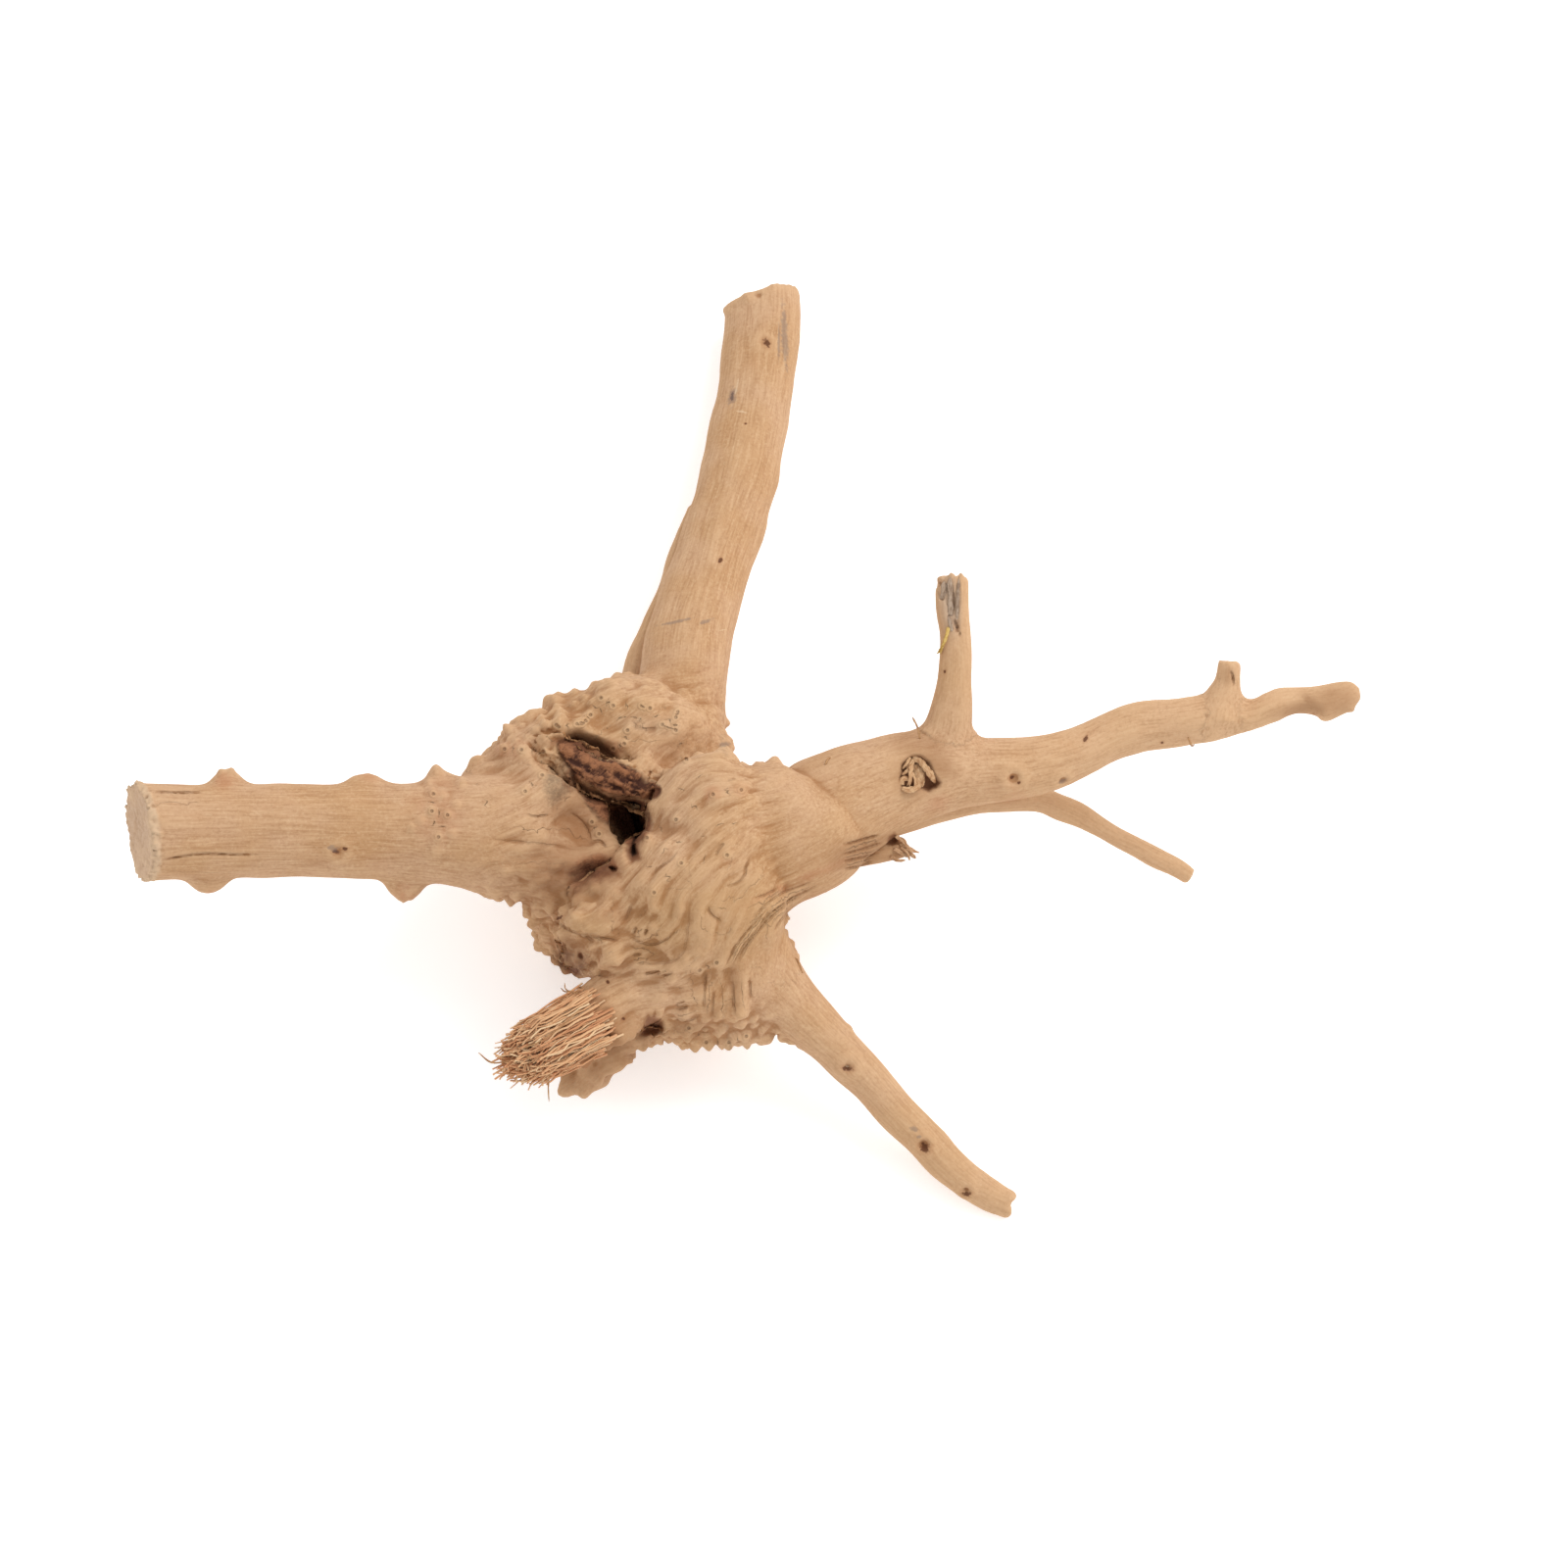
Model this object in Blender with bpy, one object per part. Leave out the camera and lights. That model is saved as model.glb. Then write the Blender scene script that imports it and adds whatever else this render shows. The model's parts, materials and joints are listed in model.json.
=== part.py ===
"""Aquarium driftwood: a weathered root burl with its limbs, grown as one piece of wood.

The wood lies on a table as it would on the bottom of a tank. +X runs along the two long limbs,
+Y runs towards the tip of the tall limb and +Z is up. The origin is under the middle of the
piece, at the height of the surface that it rests on. Limb stations are (x, y, z, radius) in
millimetres along the pith of each limb, and the mesh itself is in metres.
"""

import math
import random

import bmesh
import bpy
import numpy as np
from mathutils import Euler, Vector, kdtree, noise

MM = 0.001

# Length of the dry piece from its sawn end to the tip of the long limb, in metres.
OVERALL_LENGTH = 0.190

# Mesh sizes, in metres, and the number of triangles that the solid wood keeps.
ROUGH_VOXEL = 0.9 * MM
FINE_VOXEL = 0.6 * MM
TRIANGLES = 9600
TUBE_SIDES = 20
STATION_STEP = 1.6
STRAND_SIDES = 4
STRAND_STEP = 4

# The long sawn limb, from inside the burl to its cut end.
SAWN_LIMB = [
    (-16, -25.7, 27, 12.5),
    (-26, -25.9, 28, 10.8),
    (-33, -26.5, 28.5, 9.7),
    (-41.5, -26.9, 30, 8.5),
    (-50.5, -27.1, 31, 7.3),
    (-62, -27.5, 32.5, 7),
    (-74, -28.1, 34, 6.9),
    (-82.5, -28.8, 35.5, 6.9),
    (-91, -29.4, 37, 7.1),
    (-98, -29.8, 38, 7.1),
]
# The tall limb, whose broken tip leans down to the table.
TALL_LIMB = [
    (-10.2, -15.5, 20, 8.2),
    (-10.6, -4.9, 19.8, 7.2),
    (-10, 1.9, 19.5, 6.9),
    (-9.3, 9, 18.5, 6.6),
    (-7.6, 16.5, 17, 6.3),
    (-5.6, 24.9, 15.2, 6.1),
    (-2.4, 37.3, 12.4, 6.2),
    (0, 50.7, 9.6, 6.1),
    (1.4, 61.6, 7.4, 6.1),
    (2.3, 71.8, 6.0, 6.0),
    (2.2, 80.4, 5.2, 5.8),
]
# A thin strand of wood that grew against the back of the tall limb.
STRAND = [
    (-19.5, -6.2, 14, 3.4),
    (-18.2, -0.5, 13.2, 2.7),
    (-17.4, 5.3, 13, 2.4),
    (-16.4, 10.2, 12.8, 2.3),
    (-14.7, 14.3, 12.3, 2.3),
    (-12.4, 20.2, 11.8, 2.3),
    (-10.3, 27.5, 11.3, 2.3),
    (-7.5, 36.4, 10.6, 2),
]
# The long limb to the right, which leaves the front lobe and ends in a blunt tip.
LONG_LIMB = [
    (-4, -28.6, 27, 11.6),
    (5.8, -26.1, 27, 9.4),
    (13.3, -22.2, 28, 8.8),
    (20.7, -18.8, 28.4, 7.5),
    (28.3, -16.4, 28.3, 6.6),
    (35.8, -15.7, 28, 5.1),
    (43.3, -15.1, 27.5, 4.6),
    (50.8, -12.7, 27.5, 3.9),
    (55.4, -10.4, 28, 3.6),
    (60, -9, 28.5, 3.8),
    (66, -8.4, 29, 3.6),
    (72, -7.6, 29.5, 3.4),
    (77.2, -7, 30, 2.8),
    (81, -6.5, 30.5, 2.5),
    (85.4, -5.5, 31, 2.2),
    (88.3, -5.6, 31.5, 2.4),
    (91, -5.6, 32, 2.5),
    (93.4, -4.3, 32, 1.7),
]
# The stub that stands up from the long limb, split at its end.
UPRIGHT_STUB = [
    (28.2, -15.3, 28, 6.2),
    (30.6, -11.3, 31, 4.1),
    (31.6, -6.8, 34.6, 2.9),
    (31.95, -2.6, 37.5, 2.4),
    (31.85, 1.2, 40, 2.3),
    (31.35, 5.0, 42, 2.3),
    (31.35, 9.3, 43.6, 2.2),
]
# The small stub near the far end of the long limb.
SMALL_STUB = [
    (73, -8.1, 29.6, 3.5),
    (73.5, -5.5, 31, 2.5),
    (73.9, -3.4, 32.8, 1.7),
    (74, -0.7, 34.5, 1.5),
]
# The thin limb that leaves the underside of the long limb and comes out in front of it.
THIN_LIMB = [
    (14, -24.7, 20, 4.4),
    (20.9, -20.8, 18.6, 2.7),
    (27, -18.4, 17.4, 2.3),
    (33.1, -16.5, 16, 2.0),
    (39.3, -15.2, 14.5, 1.8),
    (45.5, -14.6, 13, 1.8),
    (48.6, -15.4, 12, 1.7),
    (51.7, -16.3, 11, 1.6),
    (54.8, -17.8, 10, 1.5),
    (57.8, -19.3, 9, 1.4),
    (61, -20.6, 8, 1.3),
    (64, -22, 7.2, 1.3),
    (67.1, -23.3, 6.4, 1.2),
    (69.2, -24.6, 6, 1),
]
# The root that slopes down to the front right, and whose tip touches the table.
FRONT_ROOT = [
    (-4.6, -36.1, 20, 6.8),
    (1.8, -44.3, 18, 5.4),
    (6.9, -49.2, 15, 4.4),
    (13.1, -54.2, 12, 3.6),
    (17.7, -58.3, 9.5, 3.2),
    (22.4, -63, 7.5, 2.9),
    (26.9, -67.2, 5.6, 2.8),
    (30.4, -70.7, 4.2, 2.7),
    (34.2, -73.5, 2.9, 2.4),
    (37.6, -75.6, 2.0, 2.3),
    (40.6, -76.9, 1.5, 1.7),
]
# The frayed root at the front left: solid wood as far as the brush of fibres.
FRAYED_ROOT = [
    (-12, -45.3, 24, 7.4),
    (-16.5, -50, 25.6, 6.1),
    (-20, -53.4, 27, 5.3),
    (-24.1, -57.5, 29, 4.8),
    (-28, -61, 30.4, 4.4),
    (-31, -63.6, 31.4, 3.9),
]
# The crusted root behind the frayed one.
LOW_ROOT = [
    (-9, -45.7, 18, 6.6),
    (-16.6, -50.2, 14, 4.6),
    (-21.2, -52.8, 11, 3.9),
    (-24.4, -56.1, 8.5, 3.6),
    (-27.8, -57.9, 6.5, 2.7),
]
# A torn twig under the long limb.
TORN_TWIG = [
    (12, -27.2, 22, 3.0),
    (17, -26.8, 22.4, 2.4),
    (21.5, -26.4, 22.6, 2),
    (26, -26.5, 22.2, 1.5),
]
# Rotten wood left standing across the hollow.
ROT_RIDGE = [
    (-30.3, -13.6, 33.5, 1.5),
    (-27.0, -16.2, 34.0, 1.9),
    (-23.6, -18.6, 33.7, 2.3),
    (-20.0, -20.0, 33.2, 2.7),
    (-16.6, -21.0, 32.8, 2.7),
    (-13.0, -22.4, 32.4, 2.4),
]
# The thick limbs take the hollow with the burl; the slender ones are added after it.
THICK_LIMBS = [SAWN_LIMB, TALL_LIMB, LONG_LIMB]
SLENDER_LIMBS = [
    STRAND, UPRIGHT_STUB, SMALL_STUB, THIN_LIMB, FRONT_ROOT, FRAYED_ROOT, LOW_ROOT, TORN_TWIG,
    ROT_RIDGE,
]

# Lumps are (centre, radii, turn), in millimetres and degrees.
BURL_LUMPS = [
    ((-19, -25.6, 20), (16.8, 16, 17), (0, 0, 0)),
    ((-26.8, -17.6, 23.5), (13.3, 11.3, 14), (0, 0, -28)),
    ((-17.5, -10.5, 23), (12, 11, 12), (0, 0, 0)),
    ((-21.4, -31.4, 16), (11.4, 10.6, 14), (0, 0, 0)),
    ((-7, -44.2, 19), (14.3, 11, 14), (0, 0, 0)),
    ((-27, -31, 6.5), (9, 9, 8.5), (0, 0, 0)),
    ((-39.0, -17.4, 26), (5.5, 4.2, 5), (0, 0, 30)),
    ((-26.2, -6.6, 23), (7.5, 5.2, 6), (0, 0, 20)),
    ((-0.8, -48.8, 16), (8.4, 5.6, 6), (0, 0, -12)),
    ((-38.5, -30.5, 25), (7, 4.2, 6), (0, 0, -20)),
]
HOLLOW_LUMPS = [
    ((-22.5, -29.0, 47), (12.5, 10, 14), (0, 0, -20)),
    ((-22.8, -18.0, 38), (11.5, 5.2, 9), (0, 0, -24)),
    ((-16.6, -25.2, 30), (4.4, 5.4, 8.0), (-15, 0, 0)),
    ((-16.5, -29.5, 31), (2.8, 5.0, 7.0), (0, 0, 0)),
    ((-22.6, -35.4, 35.5), (6.2, 3.8, 6.5), (0, 0, 12)),
    ((-26.4, -13.4, 36), (5.4, 1.9, 6.0), (15, 0, -10)),
]
FRONT_LOBE = [
    ((-4.4, -27.8, 31.5), (10.8, 11.9, 13.5), (0, 0, 10)),
    ((-8, -38.1, 30), (13.5, 12.3, 14.5), (0, 0, 0)),
    ((-16.5, -41.2, 28), (10.5, 9.5, 12), (0, 0, 25)),
    ((-3.2, -36.4, 27), (8.4, 11, 12), (0, 0, 0)),
    ((5.4, -26.8, 28.5), (13, 9.4, 11), (0, 0, 0)),
]
# Side buds on the sawn limb and the torn twig under the long limb.
BUDS = [
    ((-78, -22.0, 36.5), (2.6, 2.6, 2.6), (0, 0, 0)),
    ((-57.4, -21.6, 34.2), (3.6, 2.6, 2.4), (0, 0, 0)),
    ((-46.2, -20.6, 33), (2.8, 2.6, 2.4), (0, 0, 0)),
    ((-81, -34.7, 31.8), (3.2, 2.5, 2.4), (0, 0, 0)),
    ((-51.6, -33.5, 27.6), (3.4, 3.1, 2.6), (0, 0, 0)),
]

# The middle of the burl and how far its crusted surface reaches.
BURL_CENTRE = (-14, -26.9, 24)
BURL_REACH = (27, 31, 30)
# Bumps that crust the burl, and the swirled folds between them.
BUMP_COUNT = 260
BUMP_SPACING = 2.4
BUMP_RADIUS = (0.9, 2.0)
BUMP_HEIGHT = (0.35, 0.95)
FOLD_SPACING = 3.2
FOLD_HEIGHT = 0.38
SWELL_SIZE = 9.0
SWELL_HEIGHT = 0.8
# The two steps of each round of smoothing, and what it takes off all over, in millimetres,
# which the relief gives back.
SETTLE_STEPS = (0.5, -0.53)
SETTLE_LOSS = 0.15

# Knots are (place, radius, depth of the eye, height of the rim), in millimetres.
KNOTS = [
    ((2.9, 65.3, 13.7), 1.3, 0.7, 0.3),
    ((-2.6, 54.9, 15), 1.1, 0.4, 0.1),
    ((-4.2, 22.2, 22.3), 0.9, 0.4, 0.1),
    ((40.7, -18.3, 31.1), 1.2, 0.6, 0.5),
    ((48.4, -18.0, 29), 1.0, 0.3, 0.5),
    ((15.5, -58.6, 13.4), 1.0, 0.7, 0.5),
    ((27.1, -69.3, 7.8), 1.1, 0.6, 0.5),
    ((33.6, -75.4, 4.4), 0.9, 0.5, 0.4),
    ((-60.9, -32.5, 37), 1.4, 0.3, 0.3),
    ((-25.7, -46.4, 31), 2.2, 1.6, 0.2),
    ((-13.7, -55.2, 27), 2.0, 1.6, 0.2),
]
# The eye of the largest knot, on the long limb, and the torn splinters that curl out of it.
KNOT_HOLE = (25.9, -19.7, 35.3)
KNOT_HOLE_RADIUS = 3.1
KNOT_HOLE_DEPTH = 2.4
KNOT_HOLE_RIM = 0.7
SPLINTER_COUNT = 8

# Furrows are laid out on a plane that faces the side the wood is seen from. Along each of them the
# first number runs along +X and the second up that plane, in millimetres.
FACE_TILT = 68
FURROW_WIDTH = 0.9
FURROW_DEPTH = 0.9
FURROWS = [
    [(-14.3, -19.2), (-12.4, -18.4), (-10.3, -16.7)],
    [(-4.2, -17.0), (-3.5, -14.3)],
    [(1.0, -17.5), (-0.3, -20.1), (-3.0, -22.4)],
    [(-8.4, -23.7), (-10.1, -27.0), (-11.8, -31.9)],
    [(-7.4, -24.1), (-6.9, -29.3), (-6.5, -34.3)],
    [(-6.4, -23.7), (-3.8, -27.9), (-1.6, -32.1)],
    [(-17.4, -28.0), (-14.4, -29.6), (-11.4, -28.3), (-10.2, -27.9)],
    [(-20.6, -26.3), (-19.0, -28.8), (-15.6, -30.9)],
    [(-2.2, -33.9), (0.7, -29.6), (5.2, -24.4), (14.7, -19.3)],
    [(-0.8, -34.7), (2.2, -30.7), (6.6, -25.7), (14.9, -20.9)],
    [(-3.4, -32.7), (-0.6, -28.5), (4.0, -23.3), (12.5, -18.5)],
]

# Fibres of the frayed root: where they leave it, the way they point, and their sizes.
FRAY_CENTRE = (-25.5, -58.4, 29.4)
FRAY_AIM = (-0.69, -0.67, 0.27)
FRAY_RADIUS = 4.2
FIBRE_COUNT = 34
FIBRE_LENGTH = (9, 13.5)
FIBRE_RADIUS = 0.45
FIBRE_SPREAD = 1.6

# Plane cuts: a point on each plane, in millimetres, and the direction that is cut away.
SAWN_FACE = (-90.7, -29.6, 37.2)
SAWN_NORMAL = (-0.944, -0.236, 0.231)
BROKEN_TIP = (1, 76, 5.6)
BROKEN_NORMAL = (-0.30, 0.95, 0.05)
TABLE = (0, 0, 0)


def clear_scene():
    """Remove every object, so that the script gives the same result each time."""
    for item in list(bpy.data.objects):
        bpy.data.objects.remove(item, do_unlink=True)


def add_object(name, mesh):
    """Link a mesh into the scene under its own name."""
    item = bpy.data.objects.new(name, mesh)
    bpy.context.scene.collection.objects.link(item)
    return item


def apply_modifiers(item):
    """Turn an object's modifiers into plain mesh."""
    graph = bpy.context.evaluated_depsgraph_get()
    finished = bpy.data.meshes.new_from_object(item.evaluated_get(graph))
    item.modifiers.clear()
    old = item.data
    item.data = finished
    bpy.data.meshes.remove(old)


def through(stations, step):
    """Points on a smooth curve through the stations, about one step apart."""
    knots = np.array(stations, dtype=float)
    ends = np.vstack([2 * knots[0] - knots[1], knots, 2 * knots[-1] - knots[-2]])
    points = []
    for i in range(len(knots) - 1):
        before, start, stop, after = ends[i:i + 4]
        count = max(2, round(np.linalg.norm((stop - start)[:3]) / step))
        for t in np.arange(count) / count:
            points.append(0.5 * (
                2 * start
                + (stop - before) * t
                + (2 * before - 5 * start + 4 * stop - after) * t**2
                + (3 * start - before - 3 * stop + after) * t**3
            ))
    points.append(knots[-1])
    return np.array(points)


def limb_mesh(stations, sides=TUBE_SIDES, step=STATION_STEP):
    """A closed tube of round sections along the stations."""
    rings = through(stations, step)
    mesh = bmesh.new()
    side = Vector((0.3, 0.2, 0.93))
    previous = None
    for i, (x, y, z, radius) in enumerate(rings):
        ahead = Vector(rings[min(i + 1, len(rings) - 1)][:3] - rings[max(i - 1, 0)][:3]).normalized()
        side = (side - side.dot(ahead) * ahead).normalized()
        across = ahead.cross(side)
        centre = Vector((x, y, z))
        ring = []
        for k in range(sides):
            angle = 2 * math.pi * k / sides
            spoke = side * math.cos(angle) + across * math.sin(angle)
            ring.append(mesh.verts.new((centre + spoke * radius) * MM))
        if previous:
            for k in range(sides):
                after = (k + 1) % sides
                mesh.faces.new((previous[k], ring[k], ring[after], previous[after]))
        else:
            mesh.faces.new(ring)
        previous = ring
    mesh.faces.new(list(reversed(previous)))
    bmesh.ops.recalc_face_normals(mesh, faces=mesh.faces)
    return mesh


def lump_mesh(centre, radii, turn):
    """An ellipsoid, turned by three angles in degrees."""
    mesh = bmesh.new()
    bmesh.ops.create_icosphere(mesh, subdivisions=4, radius=1.0)
    rotation = Euler([math.radians(a) for a in turn]).to_matrix()
    for vert in mesh.verts:
        stretched = Vector([c * r for c, r in zip(vert.co, radii)])
        vert.co = (rotation @ stretched + Vector(centre)) * MM
    return mesh


def gather(name, meshes):
    """Join several closed bmeshes in one object, still as loose shells."""
    joined = bmesh.new()
    for piece in meshes:
        part = bpy.data.meshes.new("shell")
        piece.to_mesh(part)
        piece.free()
        joined.from_mesh(part)
        bpy.data.meshes.remove(part)
    mesh = bpy.data.meshes.new(name)
    joined.to_mesh(mesh)
    joined.free()
    return add_object(name, mesh)


def remesh(item, voxel):
    """Fuse the shells of an object into one skin of even quads."""
    skin = item.modifiers.new("Fuse", "REMESH")
    skin.mode = "VOXEL"
    skin.voxel_size = voxel
    skin.adaptivity = 0
    apply_modifiers(item)


def cut_away(item, cutter):
    """Subtract a closed cutter, then remove it."""
    cutter.hide_render = True
    cutter.display_type = "WIRE"
    cut = item.modifiers.new("Cut", "BOOLEAN")
    cut.operation = "DIFFERENCE"
    cut.solver = "EXACT"
    cut.object = cutter
    apply_modifiers(item)
    bpy.data.objects.remove(cutter, do_unlink=True)


def plane_cut(item, point, normal, size=40):
    """Cut away all that lies beyond a plane."""
    block = bmesh.new()
    bmesh.ops.create_cube(block, size=size * MM)
    turn = Vector(normal).to_track_quat("Z", "Y").to_matrix()
    for vert in block.verts:
        vert.co = turn @ (vert.co + Vector((0, 0, size / 2)) * MM) + Vector(point) * MM
    cut_away(item, gather("saw", [block]))


def read_points(mesh):
    """The vertices of a mesh as an array."""
    points = np.empty(len(mesh.vertices) * 3)
    mesh.vertices.foreach_get("co", points)
    return points.reshape(-1, 3)


def write_points(mesh, points):
    """Move the vertices of a mesh to an array of places."""
    mesh.vertices.foreach_set("co", points.ravel())
    mesh.update()


def read_normals(mesh):
    """The vertex normals of a mesh as an array."""
    normals = np.empty(len(mesh.vertices) * 3)
    mesh.vertices.foreach_get("normal", normals)
    return normals.reshape(-1, 3)


def settle(item, rounds):
    """Soften the joins between limbs: each round shrinks the skin, then swells it back."""
    mesh = item.data
    points = read_points(mesh)
    ends = np.empty(len(mesh.edges) * 2, dtype=int)
    mesh.edges.foreach_get("vertices", ends)
    first, second = ends.reshape(-1, 2).T
    counts = np.bincount(ends, minlength=len(points))[:, None]
    for _ in range(rounds):
        for strength in SETTLE_STEPS:
            total = np.zeros_like(points)
            for axis in range(3):
                total[:, axis] = (
                    np.bincount(first, points[second, axis], len(points))
                    + np.bincount(second, points[first, axis], len(points))
                )
            points += strength * (total / counts - points)
    write_points(mesh, points)


def soft_shell(name, meshes, rounds):
    """Fuse lumps in one rough skin and soften the creases between them."""
    shell = gather(name, meshes)
    remesh(shell, ROUGH_VOXEL)
    settle(shell, rounds)
    return shell


def grow_body():
    """The whole wood as one skin, with its hollow, before its surface relief."""
    thick = [limb_mesh(stations) for stations in THICK_LIMBS]
    thick += [lump_mesh(*lump) for lump in BURL_LUMPS + BUDS]
    body = soft_shell("driftwood", thick, 20)
    cut_away(body, soft_shell("hollow", [lump_mesh(*lump) for lump in HOLLOW_LUMPS], 10))
    remesh(body, ROUGH_VOXEL)
    settle(body, 20)
    lobe = soft_shell("lobe", [lump_mesh(*lump) for lump in FRONT_LOBE], 100)
    slender = gather("slender", [limb_mesh(stations) for stations in SLENDER_LIMBS])
    joined = bmesh.new()
    for shell in (body, lobe, slender):
        joined.from_mesh(shell.data)
    joined.to_mesh(body.data)
    joined.free()
    for shell in (lobe, slender):
        bpy.data.objects.remove(shell, do_unlink=True)
    remesh(body, FINE_VOXEL)
    settle(body, 10)
    return body


def ease(low, high, values):
    """A smooth rise from 0 at low to 1 at high."""
    t = np.clip((values - low) / (high - low), 0, 1)
    return t * t * (3 - 2 * t)


def field(points, size, seed):
    """Smooth noise from -1 to 1 at each point, with features of about the given size."""
    shift = Vector((seed * 17.3, seed * 5.1, seed * 9.7))
    return np.array([noise.noise(Vector(p) / size + shift) for p in points])


def burl_share(points):
    """1 on the burl, 0 out on the limbs."""
    reach = np.linalg.norm((points - BURL_CENTRE) / np.array(BURL_REACH), axis=1)
    return 1 - ease(0.85, 1.2, reach)


def scatter(points, share, count, spacing, seed):
    """Pick points at random, no two nearer than the spacing, mostly where share is high."""
    draw = random.Random(seed)
    order = list(range(len(points)))
    draw.shuffle(order)
    picked = []
    for i in order:
        if share[i] < draw.random():
            continue
        if picked and np.min(np.sum((points[picked] - points[i])**2, axis=1)) < spacing**2:
            continue
        picked.append(i)
        if len(picked) == count:
            break
    return picked


def bump_relief(points, share):
    """Height of the small bumps that crust the burl."""
    tree = kdtree.KDTree(len(points))
    for i, point in enumerate(points):
        tree.insert(point, i)
    tree.balance()
    draw = random.Random(5)
    height = np.zeros(len(points))
    for i in scatter(points, share, BUMP_COUNT, BUMP_SPACING, 4):
        radius = draw.uniform(*BUMP_RADIUS)
        top = draw.uniform(*BUMP_HEIGHT)
        for _, k, distance in tree.find_range(points[i], 2.5 * radius):
            height[k] += top * math.exp(-1.6 * (distance / radius)**2)
    return height


def fold_relief(points, share):
    """Height of the folds that swirl over the burl."""
    swirl = 9 * field(points, 16, 1) + 4 * field(points, 7, 2)
    across = (points[:, 1] * 0.7 - points[:, 0] * 0.4 + points[:, 2] * 0.5 + swirl) / FOLD_SPACING
    ridge = np.abs(2 * (across - np.floor(across)) - 1)
    return FOLD_HEIGHT * (2 * ridge - 1) * share * ease(-0.3, 0.3, field(points, 10, 3))


def knot_relief(points):
    """Height of the knots: a raised rim round a sunken eye."""
    height = np.zeros(len(points))
    hole = (KNOT_HOLE, KNOT_HOLE_RADIUS, KNOT_HOLE_DEPTH, KNOT_HOLE_RIM)
    for place, radius, depth, rim in KNOTS + [hole]:
        reach = np.linalg.norm(points - place, axis=1) / radius
        height += rim * np.exp(-((reach - 1.35) / 0.45)**2)
        height -= depth * (1 - ease(0.45, 1.15, reach))
    return height


def furrow_relief(points, normals):
    """Depth of the furrows, on the side that faces the layout plane."""
    tilt = math.radians(FACE_TILT)
    up = np.array([0, math.sin(tilt), math.cos(tilt)])
    towards = np.array([0, -math.cos(tilt), math.sin(tilt)])
    flat = np.column_stack([points[:, 0], points @ up])
    depth = np.zeros(len(points))
    for line in FURROWS:
        trace = through(line, 0.4)
        near = np.min(np.linalg.norm(flat[:, None] - trace[None], axis=2), axis=1)
        depth = np.maximum(depth, FURROW_DEPTH * np.exp(-(near / FURROW_WIDTH * 1.6)**2))
    return -depth * ease(0.0, 0.25, normals @ towards)


def add_relief(item):
    """Raise the swells, folds and bumps of the burl and the faint waves of the limbs."""
    mesh = item.data
    points = read_points(mesh) / MM
    share = burl_share(points)
    height = SETTLE_LOSS + SWELL_HEIGHT * field(points, SWELL_SIZE, 6) * (0.25 + 0.75 * share)
    height += fold_relief(points, share)
    height += bump_relief(points, share)
    height += knot_relief(points)
    normals = read_normals(mesh)
    height += furrow_relief(points, normals)
    write_points(mesh, (points + normals * height[:, None]) * MM)


def thin_out(item, triangles):
    """Collapse the skin to about the given number of triangles."""
    item.data.calc_loop_triangles()
    fewer = item.modifiers.new("Fewer", "DECIMATE")
    fewer.ratio = triangles / len(item.data.loop_triangles)
    fewer.use_collapse_triangulate = True
    apply_modifiers(item)


def fibres():
    """Stations of the loose fibres that end the frayed root."""
    draw = random.Random(11)
    aim = Vector(FRAY_AIM).normalized()
    side = aim.cross(Vector((0, 0, 1))).normalized()
    over = side.cross(aim)
    strands = []
    for k in range(FIBRE_COUNT):
        angle = k * math.radians(137.5)
        reach = FRAY_RADIUS * math.sqrt((k + 0.5) / FIBRE_COUNT)
        spoke = side * math.cos(angle) + over * math.sin(angle)
        length = draw.uniform(*FIBRE_LENGTH) - 3 * (reach / FRAY_RADIUS)**2
        lean = side * draw.uniform(-1, 1) + over * draw.uniform(-1, 1)
        strand = []
        for share in (0, 0.3, 0.6, 0.85, 1):
            spread = FIBRE_SPREAD * share**2
            place = Vector(FRAY_CENTRE) + aim * length * share
            place += spoke * (reach + 0.7 * spread) + lean * spread
            strand.append((*place, FIBRE_RADIUS * (1 - 0.35 * share)))
        strands.append(strand)
    return strands


def splinters():
    """Stations of the torn splinters that curl out of the knot hole."""
    draw = random.Random(7)
    strands = []
    for k in range(SPLINTER_COUNT):
        angle = 2 * math.pi * (k + draw.uniform(-0.3, 0.3)) / SPLINTER_COUNT
        spoke = Vector((math.cos(angle), math.sin(angle), 0))
        reach = KNOT_HOLE_RADIUS * draw.uniform(0.15, 0.4)
        length = draw.uniform(1.6, 2.6)
        foot = Vector(KNOT_HOLE) + spoke * reach - Vector((0, 0, KNOT_HOLE_DEPTH + 1.2))
        strand = []
        for share in (0, 0.5, 0.8, 1):
            place = foot + Vector((0, 0, 3.8 * share)) + spoke * length * share**2
            strand.append((*place, 0.5 - 0.15 * share))
        strands.append(strand)
    return strands


def add_strands(item, strands):
    """Fuse thin four-sided strands into the wood that they grow from."""
    bundle = bpy.data.collections.new("strands")
    bpy.context.scene.collection.children.link(bundle)
    for stations in strands:
        strand = gather("strand", [limb_mesh(stations, STRAND_SIDES, STRAND_STEP)])
        bpy.context.scene.collection.objects.unlink(strand)
        bundle.objects.link(strand)
    union = item.modifiers.new("Strands", "BOOLEAN")
    union.operation = "UNION"
    union.operand_type = "COLLECTION"
    union.solver = "EXACT"
    union.collection = bundle
    apply_modifiers(item)
    for strand in list(bundle.objects):
        bpy.data.objects.remove(strand, do_unlink=True)
    bpy.data.collections.remove(bundle)


def stand_on_origin(item):
    """Bring the wood to its true length, with the origin under its middle."""
    points = read_points(item.data)
    low, high = points.min(axis=0), points.max(axis=0)
    size = OVERALL_LENGTH / (high[0] - low[0])
    base = np.array([(low[0] + high[0]) / 2, (low[1] + high[1]) / 2, low[2]])
    write_points(item.data, (points - base) * size)


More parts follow.
